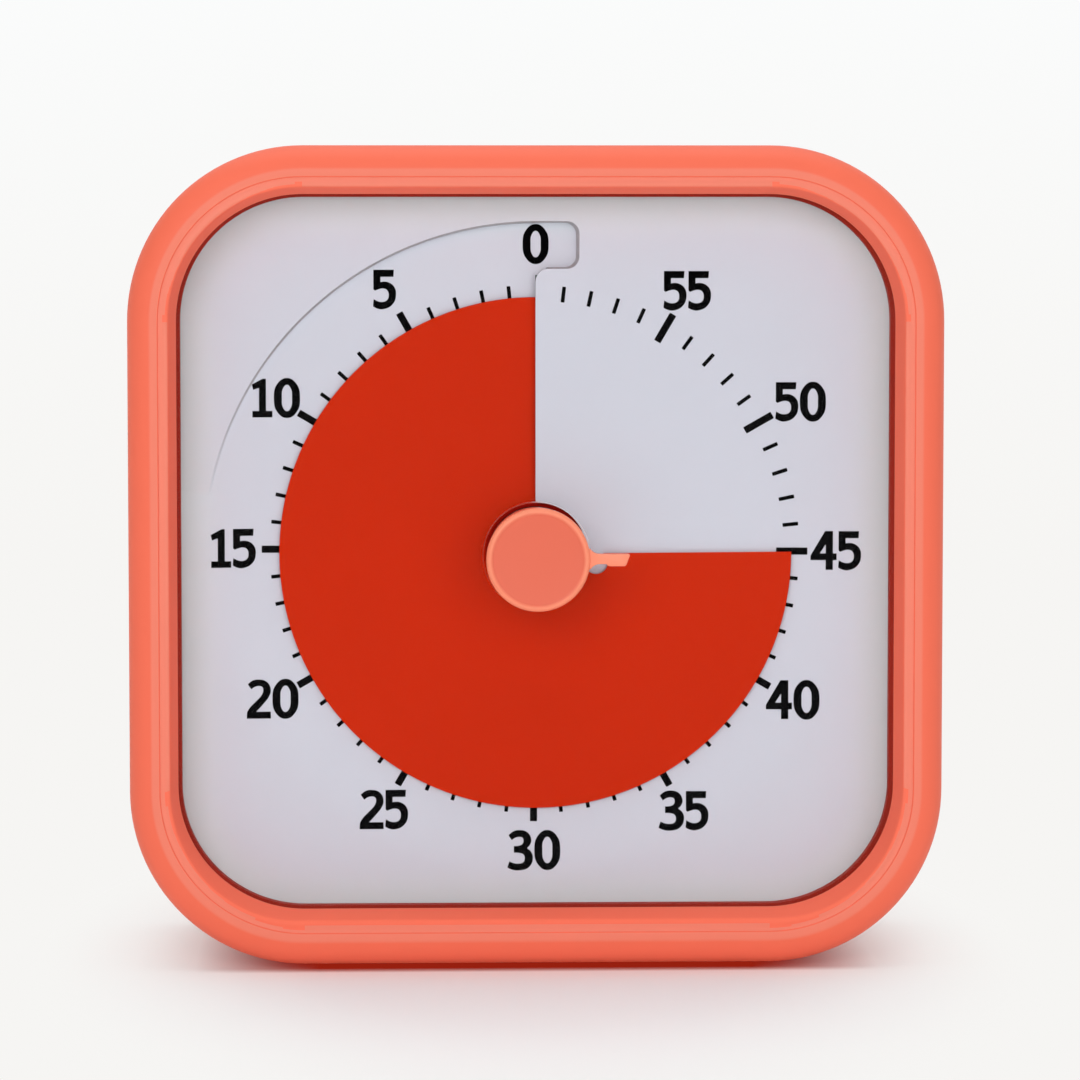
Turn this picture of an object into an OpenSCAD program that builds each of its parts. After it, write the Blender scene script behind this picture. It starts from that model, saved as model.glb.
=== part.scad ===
// A visual countdown timer for a desk. A soft sleeve grips a hard case with a clear window. Behind the
// window a thin red disc winds out through a slit in the dial as minutes are set, and a small
// quartz movement winds it back. The pieces are drawn as seen from the front: x to the right, y up and
// z, called height, towards the viewer, with the dial's axis at x = y = 0. stand_up() turns that face
// towards -Y and sets the sleeve's flat underside on Z = 0.

/* [Case] */
// Width of the sleeve
body_w = 90; // [88:1:100]
// Height of the sleeve
body_h = 90.5; // [88:0.5:100]
// Whole depth, from the knob's face to the sleeve's back
depth = 40; // [39:0.5:46]
// Radius of the sleeve's corners, seen from the front
corner_r = 19.3; // [18.5:0.1:20.5]
// Thickness of the soft sleeve
sleeve_t = 1.8; // [1.5:0.1:2]
// Wall thickness of the hard case
case_t = 2; // [1.8:0.1:2.2]
// Width of the front band, from the outline to the window
band_w = 5.8; // [5.6:0.1:6.6]
// Depth of the window's recess, down to the lens
recess = 4.1; // [3.5:0.1:4.5]
// How far the knob's face stands in front of the band
knob_proud = 2.7; // [2:0.1:3.5]

/* [Window and dial] */
// Thickness of the clear lens
lens_t = 1.5; // [1.2:0.1:1.6]
// Radius of the hole in the lens that the knob stands in
lens_hole_r = 6.3; // [6.1:0.1:6.8]
// Air between the lens and the dial
dial_air = 1.5; // [1.3:0.1:1.8]
// Thickness of the dial where the disc slides
dial_t = 0.5; // [0.4:0.05:0.6]
// Thickness of the dial's flat rim
rim_t = 1.5; // [1.4:0.1:1.8]
// Radius of the hole in the middle of the dial
dial_hole_r = 6.2; // [6:0.1:6.6]
// Radius of the arc that bounds the dial's sunken flap
arc_r = 36.4; // [35.5:0.1:37]
// Width of the sunken tab to the right of the slit
tab_w = 5.2; // [4:0.1:6]
// Height of the sunken tab, inwards from the arc
tab_h = 5; // [4:0.1:5.5]

/* [Disc and knob] */
// Radius of the red disc
disc_r = 28.4; // [27:0.1:29]
// Thickness of the red disc
disc_t = 0.3; // [0.2:0.05:0.35]
// Air between the disc and the dial, on each side
slip = 0.2; // [0.15:0.01:0.25]
// Minutes that the disc shows
shown_minutes = 45; // [10:1:59]
// Radius of the knob
knob_r = 5.7; // [5.4:0.1:5.9]
// Reach of the knob's pointer from the axis
pointer_r = 10.05; // [9:0.05:11]
// Radius of the arbor
arbor_r = 1.5; // [1.4:0.05:1.6]

/* [Movement] */
// Module of the wheels' teeth
tooth = 0.3; // [0.28:0.01:0.3]
// Teeth on each of the small pinions
pinion_teeth = 10; // [10:1:10]
// Teeth on the centre wheel
centre_teeth = 80; // [80:1:80]
// Teeth on the third wheel
third_teeth = 75; // [75:1:75]
// Teeth on the fourth wheel
fourth_teeth = 60; // [60:1:60]
// Teeth on the fifth wheel
fifth_teeth = 50; // [50:1:50]
// Thickness of each wheel
wheel_t = 1; // [0.8:0.1:1]
// Depth of the movement's housing
movement_t = 13.6; // [13.6:0.1:13.8]

/* [Battery and switch] */
// Radius of the battery cell
cell_r = 7.2; // [7:0.05:7.25]
// Length of the battery cell with its nub
cell_l = 50.3; // [49.5:0.1:50.5]
// Thickness of the battery door
door_t = 1.6; // [1.4:0.1:1.8]
// Travel of the alert switch
switch_travel = 3; // [2:0.5:3]

/* [Hidden] */
$fn = 64;

// Colours
coral = [0.95, 0.44, 0.34];
coral_case = [0.92, 0.47, 0.38];
dial_grey = [0.80, 0.80, 0.83];
disc_red = [0.80, 0.18, 0.07];
housing_white = [0.88, 0.88, 0.85];
wheel_white = [0.93, 0.93, 0.9];
dark = [0.13, 0.13, 0.14];
steel = [0.72, 0.73, 0.75];
brass = [0.83, 0.68, 0.36];
copper = [0.78, 0.42, 0.22];
board_green = [0.10, 0.36, 0.20];

// Heights towards the viewer
knob_face = depth / 2;
back = -depth / 2;
front = knob_face - knob_proud;
lens_front = front - recess;
lens_back = lens_front - lens_t;
dial_top = lens_back - dial_air;
pitch = dial_t + disc_t + 2 * slip;
disc_low = dial_top - 2 * pitch + slip;
movement_front = disc_low - 1;
movement_back = movement_front - movement_t;
plate_t = 1.2;
inner_front = movement_front - plate_t;
inner_back = movement_back + plate_t;
gap = 0.05;
eps = 0.01;

// Places in the case, as distances out from the sleeve's outline
corner_x = body_w / 2 - corner_r;
corner_y = body_h / 2 - corner_r;
lip_u = -3.25;
land_u = -4.4;
shell_u = -sleeve_t - gap;
wall_u = shell_u - case_t;
lens_u = 1.15 - band_w;
rear_lip_u = -4.2;
shelf = front - sleeve_t;
inner_round = 1.2;
split = -2;
tongue_h = 1.4;
back_panel = back + 0.8;
back_floor = back_panel + 2;
rear_shelf = back + sleeve_t + gap;

// Screws that hold the case together
screw_xy = [corner_x + 7.9, corner_y + 7.7];
boss_r = 3;
boss_end = -6;
pilot_r = 1.25;
shank_r = 1.2;
head_r = 2.6;
head_t = 1.5;
head_sink = 0.7;

// Opening angle of each part of the dial, from 12 o'clock round to the left
flap_angle = 90;
dial_step = 5;
flat_r = disc_r + 0.8;
sheet_step = 1.4;
disc_angle = 6 * shown_minutes;
disc_span = 358;
disc_steps = 90;
hub_r = 5.2;
hub_bore_r = arbor_r + 0.06;
arbor_flat = 0.4;

// Movement: the box, and each axle's place seen from the front
box_x = 25;
box_top = 25;
box_bottom = -21.2;
box_wall = 1.2;
box_split = 0;
axle_r = 0.5;
axle_hole_r = 0.56;
axle_end = 0.8;
pressure = 20;
tooth_share = 0.42;
tooth_rise = 0.9;
tooth_fall = 1.2;
third_xy = pitch_point([0, 0], centre_teeth, 140);
fourth_xy = pitch_point(third_xy, third_teeth, 25);
fifth_xy = pitch_point(fourth_xy, fourth_teeth, -20);
rotor_xy = pitch_point(fifth_xy, fifth_teeth, -70);
centre_h = inner_front - 1.8;
layer = 2;
third_h = centre_h - layer;
fourth_h = third_h - layer;
fifth_h = fourth_h - layer;
magnet_r = 2.2;
magnet_t = 1.6;
magnet_h = inner_back + 0.8;
coil_xy = [4.8, -15];
coil_l = 21;
coil_h = inner_front - 6.8;
coil_r = 3.8;
ear_x = box_x + 3;
ear_y = 12;
post_r = 2.6;
cam_h = -1.4;

// Battery bay, door and switch
cell_x = 0.6;
cell_y = -30;
cell_h = -8.6;
bay_x = 27.4;
bay_y = [-37.7, -22.4];
bay_wall = 1;
bay_front = cell_h + cell_r + 0.6;
door_x = 28.6;
door_h = back_panel + 0.9;
door_axis_y = -38.1;
door_top_y = -21.6;
door_gap = 0.2;
hinge_r = 0.5;
board_t = 1.2;
board_h = -10.2;
board_x = 24;
board_y = [3, 33];
switch_xy = [-14, 26];
buzzer_xy = [11, 21];
buzzer_r = 9;
wire_r = 0.45;
wire_route = [
    [29.8, -30, -6], [31, -29, -6], [31.8, -26, -6], [32, -21, -6], [32, -14, -6.4],
    [31.8, -7, -7], [31, -1, -7.8], [29, 3, -8.3], [26, 4.6, -8.5], [22.6, 5, -8.5]
];

// A point at one gear mesh's distance from another axle: a wheel there drives a pinion here
function pitch_point(from, teeth, angle) =
    from + (teeth + pinion_teeth) / 2 * tooth * [cos(angle), sin(angle)];

// Turn of a pinion that meshes with a wheel whose first tooth points along +x
function mesh_turn(from, to, teeth) =
    let (way = atan2(to[1] - from[1], to[0] - from[0]))
    way + 180 - 180 / pinion_teeth + way * teeth / pinion_teeth;

function involute(a) = tan(a) * 180 / PI - a;

// Half the angle that a tooth takes up at a radius
function tooth_half(teeth, r) =
    let (base = teeth * tooth / 2 * cos(pressure))
    tooth_share * 180 / teeth + involute(pressure) - (r > base ? involute(acos(base / r)) : 0);

function at(r, a) = [r * cos(a), r * sin(a)];

// Direction of a minute's angle: 12 o'clock is 0, and it grows to the left as minutes do
function minute_way(a) = [-sin(a), cos(a)];

function smooth(x) = let (t = max(0, min(1, x))) t * t * (3 - 2 * t);

// Height of the dial's face, below its flat rim: a ramp under the disc, eased out to the arc
function dial_fall(r, a) =
    let (
        under = 1 - a / 360,
        edge = max(0.05, 1 - a / flap_angle),
        ease = smooth((r - flat_r) / (arc_r - flat_r))
    )
    -pitch * (under + (edge - under) * ease);

// A thin sheet between two surfaces: rows of points from the outer radius in, columns by angle
module sheet(top, low) {
    rows = len(top);
    cols = len(top[0]);
    count = rows * cols;
    function up(i, j) = i * cols + j;
    function down(i, j) = count + up(i, j);
    points = [for (side = [top, low]) for (row = side) for (p = row) p];
    faces = [
        for (i = [0 : rows - 2]) for (j = [0 : cols - 2]) each [
            [up(i, j), up(i + 1, j), up(i + 1, j + 1)], [up(i, j), up(i + 1, j + 1), up(i, j + 1)],
            [down(i, j), down(i + 1, j + 1), down(i + 1, j)], [down(i, j), down(i, j + 1), down(i + 1, j + 1)]
        ],
        for (j = [0 : cols - 2]) each [
            [up(0, j), up(0, j + 1), down(0, j + 1), down(0, j)],
            [up(rows - 1, j + 1), up(rows - 1, j), down(rows - 1, j), down(rows - 1, j + 1)]
        ],
        for (i = [0 : rows - 2]) each [
            [up(i + 1, 0), up(i, 0), down(i, 0), down(i + 1, 0)],
            [up(i, cols - 1), up(i + 1, cols - 1), down(i + 1, cols - 1), down(i, cols - 1)]
        ]
    ];
    polyhedron(points, faces);
}

// A round tube along a list of points
module tube(route, r, sides = 8) {
    last = len(route) - 1;
    function way(i) =
        let (d = route[min(last, i + 1)] - route[max(0, i - 1)]) d / norm(d);
    function across(i) = let (d = way(i), c = cross(d, [0, 0, 1])) c / norm(c);
    points = [
        for (i = [0 : last]) for (k = [0 : sides - 1])
            let (a = 360 * k / sides, side = across(i))
            route[i] + r * (cos(a) * side + sin(a) * cross(way(i), side))
    ];
    faces = [
        [for (k = [0 : sides - 1]) k],
        for (i = [0 : last - 1]) for (k = [0 : sides - 1])
            let (n = (k + 1) % sides)
            [i * sides + n, i * sides + k, (i + 1) * sides + k, (i + 1) * sides + n],
        [for (k = [sides - 1 : -1 : 0]) last * sides + k]
    ];
    polyhedron(points, faces);
}

module stand_up() translate([0, 0, body_h / 2]) rotate([90, 0, 0]) children();

module at_height(h) translate([0, 0, h]) children();

module slab(low, high) at_height(low) linear_extrude(high - low) children();

module rod(r, low, high) at_height(low) cylinder(r = r, h = high - low);

module four_ways(x, y) for (sx = [-1, 1], sy = [-1, 1]) translate([sx * x, sy * y, 0]) children();

// A rectangle between two corners
module box2d(x, y) translate([x[0], y[0]]) square([x[1] - x[0], y[1] - y[0]]);

// The same with round corners
module round2d(x, y, r) {
    box2d([x[0] + r, x[1] - r], y);
    box2d(x, [y[0] + r, y[1] - r]);
    for (cx = [x[0] + r, x[1] - r], cy = [y[0] + r, y[1] - r]) translate([cx, cy]) circle(r);
}

// The case's outline, moved out by u
module outline(u) {
    round2d([-1, 1] * (corner_x + corner_r + u), [-1, 1] * (corner_y + corner_r + u), corner_r + u);
}

// Sweeps a section round the case: its x is the distance out from the sleeve's outline, its y the height
module swept() {
    for (i = [0 : 3]) {
        half = i % 2 == 0 ? [corner_x, corner_y] : [corner_y, corner_x];
        rotate(90 * i) translate([half[0], half[1], 0]) {
            rotate_extrude(angle = 90) translate([corner_r, 0]) children();
            rotate([90, 0, 0]) linear_extrude(2 * half[1]) translate([corner_r, 0]) children();
        }
    }
}

// ---- Case ----

module sleeve() {
    edge_r = 3.1;
    lip_r = 0.35;
    color(coral) swept() {
        difference() {
            round2d([-3 * edge_r, 0], [back, front], edge_r);
            round2d([-9 * edge_r, -sleeve_t], [back + sleeve_t, shelf], inner_round);
            box2d([-4 * edge_r, lip_u + lip_r], [shelf - 1, front + 1]);
            box2d([-4 * edge_r, rear_lip_u + lip_r], [back - 1, back + sleeve_t + 1]);
        }
        round2d([lip_u, lip_u + 3 * lip_r], [shelf, front], lip_r);
        round2d([rear_lip_u, rear_lip_u + 3 * lip_r], [back, back + sleeve_t], lip_r);
    }
}

module front_bezel() {
    chamfer = 0.2;
    land = front - 0.1;
    foot = lens_front + 0.3;
    color(coral_case) swept() polygon([
        [shell_u, split], [shell_u, shelf - gap - inner_round], [shell_u - inner_round, shelf - gap],
        [lip_u - 0.1, shelf - gap], [lip_u - 0.1, land - chamfer], [lip_u - 0.1 - chamfer, land],
        [land_u + chamfer, land], [land_u, land - chamfer], [-band_w, foot + chamfer],
        [-band_w, foot], [lens_u - 0.5, foot], [lens_u - 0.5, lens_front], [lens_u, lens_front],
        [lens_u, dial_top], [wall_u, dial_top], [wall_u, split + tongue_h + 0.2],
        [wall_u + case_t / 2 + gap, split + tongue_h + 0.2], [wall_u + case_t / 2 + gap, split]
    ]);
}

module lens() {
    color([0.85, 0.92, 0.95, 0.35]) slab(lens_back, lens_front) difference() {
        outline(lens_u - gap);
        circle(lens_hole_r);
    }
}

// Section of the rear case: the wall, its tongue and the rim that the sleeve's back lip holds
module rear_section() {
    polygon([
        [shell_u, split - gap], [shell_u, rear_shelf + inner_round], [shell_u - inner_round, rear_shelf],
        [rear_lip_u - 0.1, rear_shelf], [rear_lip_u - 0.1, back_panel + 0.3],
        [rear_lip_u - 0.4, back_panel], [rear_lip_u - 2, back_panel], [rear_lip_u - 2, back_floor],
        [wall_u, back_floor], [wall_u, split + tongue_h], [wall_u + case_t / 2, split + tongue_h],
        [wall_u + case_t / 2, split - gap]
    ]);
}

module door_opening(grow) {
    box2d([-door_x - grow, door_x + grow], [door_axis_y - door_t / 2 - grow, door_top_y + grow]);
}

module sound_holes() {
    rings = [[0, 1], [3, 6], [6, 12]];
    translate(buzzer_xy) for (ring = rings) for (k = [0 : ring[1] - 1])
        translate(at(ring[0], 360 * k / ring[1])) circle(0.8);
}

module switch_slot() {
    slot = [switch_travel + 5.2, 3.2];
    translate(switch_xy) round2d([-1, 1] * slot[0] / 2, [-1, 1] * slot[1] / 2, 0.6);
}

module rear_case() {
    seat = door_h + door_t / 2 + gap;
    bay_out = [[-bay_x - bay_wall, bay_x + bay_wall], [bay_y[0] - bay_wall, bay_y[1] + bay_wall]];
    color(coral_case) difference() {
        union() {
            swept() rear_section();
            slab(back_panel, back_floor) outline(rear_lip_u - 1.9);
            four_ways(screw_xy[0], screw_xy[1]) rod(boss_r + 0.2, back_floor - eps, boss_end - gap);
            four_ways(ear_x, ear_y) rod(post_r, back_floor - eps, movement_back - gap);
            for (p = board_screw_xy()) translate(p) rod(2.2, back_floor - eps, board_h - gap);
            slab(back_floor - eps, bay_front + bay_wall) box2d(bay_out[0], bay_out[1]);
            slab(back_floor - eps, back_floor + 0.8) door_opening(1.2);
        }
        slab(back_panel - 1, bay_front) box2d([-bay_x, bay_x], bay_y);
        slab(back_panel - 1, seat) door_opening(door_gap);
        for (side = [-1, 1]) translate([side * (door_x + 0.9), door_axis_y, door_h])
            rotate([0, 90, 0]) cylinder(r = hinge_r + 0.06, h = 2.4, center = true);
        for (side = [-1, 1]) translate([side * (bay_x + bay_wall / 2), cell_y, contact_tab_h()])
            cube([bay_wall + 1, 2.4, 0.8], center = true);
        slab(back_panel - 1, back_floor + 1) sound_holes();
        slab(back_panel - 1, back_floor + 1) switch_slot();
        four_ways(screw_xy[0], screw_xy[1]) {
            rod(1.5, back_panel - 1, boss_end + 1);
            rod(head_r + 0.3, back_panel - 1, back_panel + head_sink + head_t);
        }
        four_ways(ear_x, ear_y) rod(pilot_r - 0.25, movement_back - 7, movement_back + 1);
        for (p = board_screw_xy()) translate(p) rod(pilot_r - 0.25, board_h - 5, board_h + 1);
    }
}

module battery_door() {
    grip_l = 9;
    color(coral_case) {
        difference() {
            slab(door_h - door_t / 2, door_h + door_t / 2)
                box2d([-door_x, door_x], [door_axis_y, door_top_y]);
            for (side = [-1, 1]) translate([side * grip_l * 0.75, door_top_y - 2.5, door_h])
                cube([0.6, 7, door_t + 1], center = true);
            for (k = [0 : 3]) translate([0, door_top_y - 1.6 - 1.1 * k, door_h - door_t / 2])
                cube([grip_l, 0.5, 0.5], center = true);
        }
        translate([0, door_axis_y, door_h]) rotate([0, 90, 0]) {
            cylinder(r = door_t / 2, h = 2 * door_x, center = true);
            cylinder(r = hinge_r, h = 2 * door_x + 1.8, center = true);
        }
        for (side = [-1, 1]) translate([side * 17, (bay_y[0] + bay_y[1]) / 2, 0])
            slab(door_h + door_t / 2 - eps, door_h + door_t / 2 + 0.6) box2d([-0.5, 0.5], [-6, 6]);
    }
}

// ---- Dial, disc and knob ----

// The sunken tab beside the slit
module tab(grow) {
    corner = 1.1 + grow;
    low = arc_r - tab_h - grow;
    intersection() {
        union() {
            box2d([-0.6, tab_w + grow - corner], [low, arc_r + grow]);
            box2d([-0.6, tab_w + grow], [low + corner, arc_r + grow - corner]);
            translate([tab_w + grow - corner, low + corner]) circle(corner);
            translate([tab_w + grow - corner, arc_r + grow - corner - 0.4]) circle(corner);
        }
        circle(arc_r + grow);
    }
}

// What the upper plate's round corner leaves open, where the slit meets the tab
module tab_corner() {
    corner = 1.1;
    low = arc_r - tab_h;
    difference() {
        box2d([-0.6, corner], [low - corner, low + eps]);
        translate([corner, low - corner]) circle(corner);
    }
}

// The floor of the tab and the wall that joins it to the plate above
module tab_pan() {
    wall = 0.7;
    low = dial_top - pitch - dial_t - 0.03;
    slab(low, dial_top - 0.06) intersection() {
        tab(wall);
        translate([-0.02, 0]) square(2 * arc_r);
    }
    slab(low, dial_top - pitch - 0.03) box2d([-0.6, 0.3], [arc_r - tab_h - wall, arc_r]);
}

module dial_plate() {
    radii = concat(
        [arc_r + 0.25, arc_r - 0.1], [for (r = [arc_r - 1.4 : -sheet_step : flat_r]) r],
        [flat_r, (dial_hole_r + flat_r) / 2, dial_hole_r]
    );
    function rows(fall) = [
        for (r = radii) [
            for (a = [0 : dial_step : 360])
                let (p = r * minute_way(a)) [p[0], p[1], dial_top + dial_fall(r, a) - fall]
        ]
    ];
    color(dial_grey) difference() {
        union() {
            slab(dial_top - rim_t, dial_top) difference() {
                outline(wall_u - gap);
                circle(arc_r);
            }
            sheet(rows(0), rows(dial_t));
            tab_pan();
            four_ways(screw_xy[0], screw_xy[1]) rod(boss_r, boss_end, dial_top - 1);
        }
        slab(dial_top - pitch + 0.01, dial_top + 1) intersection() {
            union() {
                tab(0);
                tab_corner();
            }
            translate([-0.05, 0]) square(2 * arc_r);
        }
        four_ways(screw_xy[0], screw_xy[1]) rod(pilot_r, boss_end - 1, dial_top - 3);
    }
}

// Height of the disc's front face at an angle, counted back through the slit from its leading edge
function disc_level(a) = dial_top + pitch * a / 360 + slip + disc_t - pitch;

module time_disc() {
    angles = [for (i = [0 : disc_steps]) disc_angle - disc_span * i / disc_steps];
    function rows(fall) = [
        for (r = [disc_r, hub_r + 0.03]) [
            for (a = angles) let (p = r * minute_way(a)) [p[0], p[1], disc_level(a) - fall]
        ]
    ];
    notch_r = 1.15;
    color(disc_red) difference() {
        sheet(rows(0), rows(disc_t));
        rotate(disc_angle - 270) translate([hub_r + 1.6, -1, 0])
            rod(notch_r, dial_top - 0.5, dial_top + 2);
    }
}

// Section of the arbor where the disc's hub and the knob grip it
module flatted(r, flat) {
    difference() {
        circle(r);
        rotate(disc_angle) translate([-r, r - flat]) square(2 * r);
    }
}

module disc_hub() {
    low = disc_level(disc_angle - disc_span) - disc_t - 0.1;
    high = disc_level(disc_angle) + 0.1;
    color(dark) slab(low, high) difference() {
        circle(hub_r);
        flatted(hub_bore_r, arbor_flat - 0.02);
    }
}

module pointer() {
    high = 0.6;
    neck = 0.49;
    paddle = 0.73;
    polygon([
        [knob_r - 1.5, high + 1.3], [knob_r - 0.35, high + 0.75], [knob_r + 0.3, high + 0.15],
        [knob_r + 1, high], [pointer_r, high], [pointer_r - 0.45, -paddle], [pointer_r - 2.3, -paddle],
        [pointer_r - 2.6, -neck], [knob_r + 1, -neck], [knob_r + 0.3, -neck - 0.15],
        [knob_r - 0.35, -neck - 0.75], [knob_r - 1.5, -neck - 1.3]
    ]);
}

module knob_cap() {
    low = lens_back + 0.3;
    round_r = 0.45;
    arm_top = knob_face - 0.5;
    color(coral) difference() {
        union() {
            rotate_extrude() {
                box2d([0, knob_r], [low, knob_face - round_r]);
                box2d([0, knob_r - round_r], [low, knob_face]);
                translate([knob_r - round_r, knob_face - round_r]) circle(round_r);
            }
            rotate(disc_angle - 270) slab(arm_top - 1.2, arm_top) pointer();
        }
        slab(low - 1, knob_face - 1.5) flatted(arbor_r + 0.02, arbor_flat - 0.02);
        rod(knob_r - 0.6, knob_face - 0.12, knob_face + 1);
    }
}

module arbor() {
    color(steel) {
        slab(movement_front + 0.7, knob_face - 1.6) flatted(arbor_r, arbor_flat);
        rod(arbor_r, inner_back + 0.5, movement_front + 0.7 + eps);
        rod(0.9, movement_back + 0.4, inner_back + 0.5 + eps);
        rod(2.2, inner_front - 0.5, inner_front - 0.1);
        rod(2.2, centre_h - 0.6, centre_h - 0.15);
    }
}

module clutch_spring() {
    arm_l = 5;
    color(steel) slab(centre_h + wheel_t + 0.08, centre_h + wheel_t + 0.25) difference() {
        union() {
            circle(2.4);
            for (k = [0 : 2]) rotate(120 * k) box2d([0, arm_l], [-0.8, 0.8]);
        }
        circle(arbor_r + 0.02);
    }
}

module zero_cam() {
    color(housing_white) slab(cam_h, cam_h + 1.2) difference() {
        circle(4.2);
        circle(arbor_r + 0.02);
        rotate(disc_angle) translate([0, 4.4]) circle(1);
    }
}

// ---- Movement ----

module gear(teeth) {
    r = teeth * tooth / 2;
    radii = [r - tooth_fall * tooth, max(r - tooth_fall * tooth + eps, r * cos(pressure)), r, r + tooth_rise * tooth];
    last = len(radii) - 1;
    polygon([
        for (k = [0 : teeth - 1]) each concat(
            [for (i = [0 : last]) at(radii[i], 360 * k / teeth - tooth_half(teeth, radii[i]))],
            [for (i = [last : -1 : 0]) at(radii[i], 360 * k / teeth + tooth_half(teeth, radii[i]))]
        )
    ]);
}

module wheel_axle(r = axle_r) rod(r, inner_back - axle_end, inner_front + axle_end);

// A wheel and pinion moulded on one axle: the pinion meshes with the wheel one layer in front
module wheel_and_pinion(teeth, h, xy, from, driver_teeth) {
    windows = 5;
    r = teeth * tooth / 2;
    color(wheel_white) translate(xy) {
        slab(h, h + wheel_t) difference() {
            gear(teeth);
            for (k = [0 : windows - 1]) rotate(360 * k / windows) translate([r * 0.58, 0]) circle(r * 0.22);
        }
        rotate(mesh_turn(from, xy, driver_teeth)) slab(h + wheel_t - eps, h + layer + wheel_t + 0.3)
            gear(pinion_teeth);
        wheel_axle();
    }
}

module centre_wheel() {
    windows = 6;
    color(brass) slab(centre_h, centre_h + wheel_t) difference() {
        gear(centre_teeth);
        circle(arbor_r + 0.06);
        for (k = [0 : windows - 1]) rotate(60 * k + 30) translate([7.6, 0]) circle(2.4);
    }
}

module third_wheel() wheel_and_pinion(third_teeth, third_h, third_xy, [0, 0], centre_teeth);

module fourth_wheel() wheel_and_pinion(fourth_teeth, fourth_h, fourth_xy, third_xy, third_teeth);

module fifth_wheel() wheel_and_pinion(fifth_teeth, fifth_h, fifth_xy, fourth_xy, fourth_teeth);

module rotor_pinion() {
    color(wheel_white) translate(rotor_xy) {
        rotate(mesh_turn(fifth_xy, rotor_xy, fifth_teeth)) slab(fifth_h - 0.3, fifth_h + wheel_t + 0.3)
            gear(pinion_teeth);
        wheel_axle(0.4);
    }
}

module rotor_magnet() {
    color(dark) translate(rotor_xy) slab(magnet_h, magnet_h + magnet_t) difference() {
        circle(magnet_r);
        circle(0.41);
    }
}

module box_outline(inset) {
    box2d([-box_x + inset, box_x - inset], [box_bottom + inset, box_top - inset]);
}

module axle_holes() {
    for (p = [third_xy, fourth_xy, fifth_xy]) translate(p) circle(axle_hole_r);
    translate(rotor_xy) circle(0.46);
}

module movement_base() {
    color(housing_white) {
        slab(inner_front, movement_front) difference() {
            box_outline(0);
            axle_holes();
            circle(3.2);
        }
        slab(box_split, inner_front + eps) difference() {
            box_outline(0);
            box_outline(box_wall);
        }
    }
}

module movement_cover() {
    color(dark) difference() {
        union() {
            slab(movement_back, inner_back) difference() {
                box_outline(0);
                axle_holes();
                circle(0.95);
                translate(coil_xy) box2d([-1, 1] * (coil_l / 2 - 2), [1.4, 5.2]);
            }
            slab(inner_back - eps, box_split - gap) difference() {
                box_outline(0);
                box_outline(box_wall);
            }
            slab(movement_back, movement_back + 1.6) for (side = [-1, 1], up = [-1, 1])
                box2d([min(side * (box_x - 1), side * (ear_x + 2.6)), max(side * (box_x - 1), side * (ear_x + 2.6))],
                    [up * ear_y - 2.6, up * ear_y + 2.6]);
        }
        four_ways(ear_x, ear_y) rod(1.3, movement_back - 1, movement_back + 3);
    }
}

module arbor_bush() {
    color(brass) difference() {
        union() {
            rod(3.15, inner_front + 0.05, movement_front + 0.05);
            rod(4, movement_front + gap, movement_front + 0.5);
        }
        rod(arbor_r + 0.05, inner_front - 1, movement_front + 1);
    }
}

module stator() {
    air = 0.4;
    low = magnet_h + 0.3;
    leg = [coil_l / 2 - 2.5, coil_l / 2 + 1];
    color(steel) {
        slab(low, low + 0.8) difference() {
            union() {
                translate(rotor_xy) circle(magnet_r + 3.2);
                for (side = [-1, 1]) {
                    near = coil_xy + [side * leg[0], 5.2];
                    far = coil_xy + [side * leg[1], 7];
                    polygon([
                        rotor_xy + [side * 5, -1], rotor_xy + [side * 2, -4.5], near,
                        [near[0], coil_xy[1] - 2], [far[0], coil_xy[1] - 2], far
                    ]);
                }
            }
            translate(rotor_xy) circle(magnet_r + air);
        }
        for (side = [-1, 1]) translate(coil_xy) slab(low, coil_h + 1.3)
            box2d([min(side * leg[0], side * leg[1]), max(side * leg[0], side * leg[1])], [-1.5, 1.5]);
        along_coil() cylinder(r = 1.15, h = coil_l - 1, center = true);
    }
}

module along_coil() translate([coil_xy[0], coil_xy[1], coil_h]) rotate([0, 90, 0]) children();

module coil_bobbin() {
    inner = coil_l / 2 - 3.4;
    color(housing_white) along_coil() difference() {
        union() {
            cylinder(r = 2, h = 2 * inner, center = true);
            for (side = [-1, 1]) translate([0, 0, side * inner]) cylinder(r = coil_r + 0.4, h = 0.8, center = true);
        }
        cylinder(r = 1.2, h = 2 * inner + 2, center = true);
    }
}

module coil_winding() {
    inner = coil_l / 2 - 3.4;
    color(copper) along_coil() difference() {
        cylinder(r = coil_r, h = 2 * inner - 0.82, center = true);
        cylinder(r = 2.01, h = 2 * inner, center = true);
    }
}

module alarm_leaf() {
    color(brass) {
        slab(cam_h + 0.2, cam_h + 1) box2d([-20, 1.5], [-4.6, -4.4]);
        slab(inner_back + gap, cam_h + 1) box2d([-20.4, -20], [-6, -3]);
        slab(cam_h + 0.2, cam_h + 1) box2d([-20.1, -19.9], [-4.6, -4.4]);
    }
}

// ---- Board, sound and switch ----

function board_screw_xy() = [[-20, 6.5], [20, 6.5]];

module main_board() {
    color(board_green) slab(board_h, board_h + board_t) difference() {
        box2d([-board_x, board_x], board_y);
        for (p = board_screw_xy()) translate(p) circle(1.3);
    }
}

module timer_chip() {
    color(dark) translate([4, 18]) slab(board_h + board_t, board_h + board_t + 0.9) circle(3.6);
}

module crystal_can() {
    color(steel) translate([-9, 18, board_h + board_t + 1]) rotate([0, 90, 0])
        cylinder(r = 0.95, h = 6, center = true);
}

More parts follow.
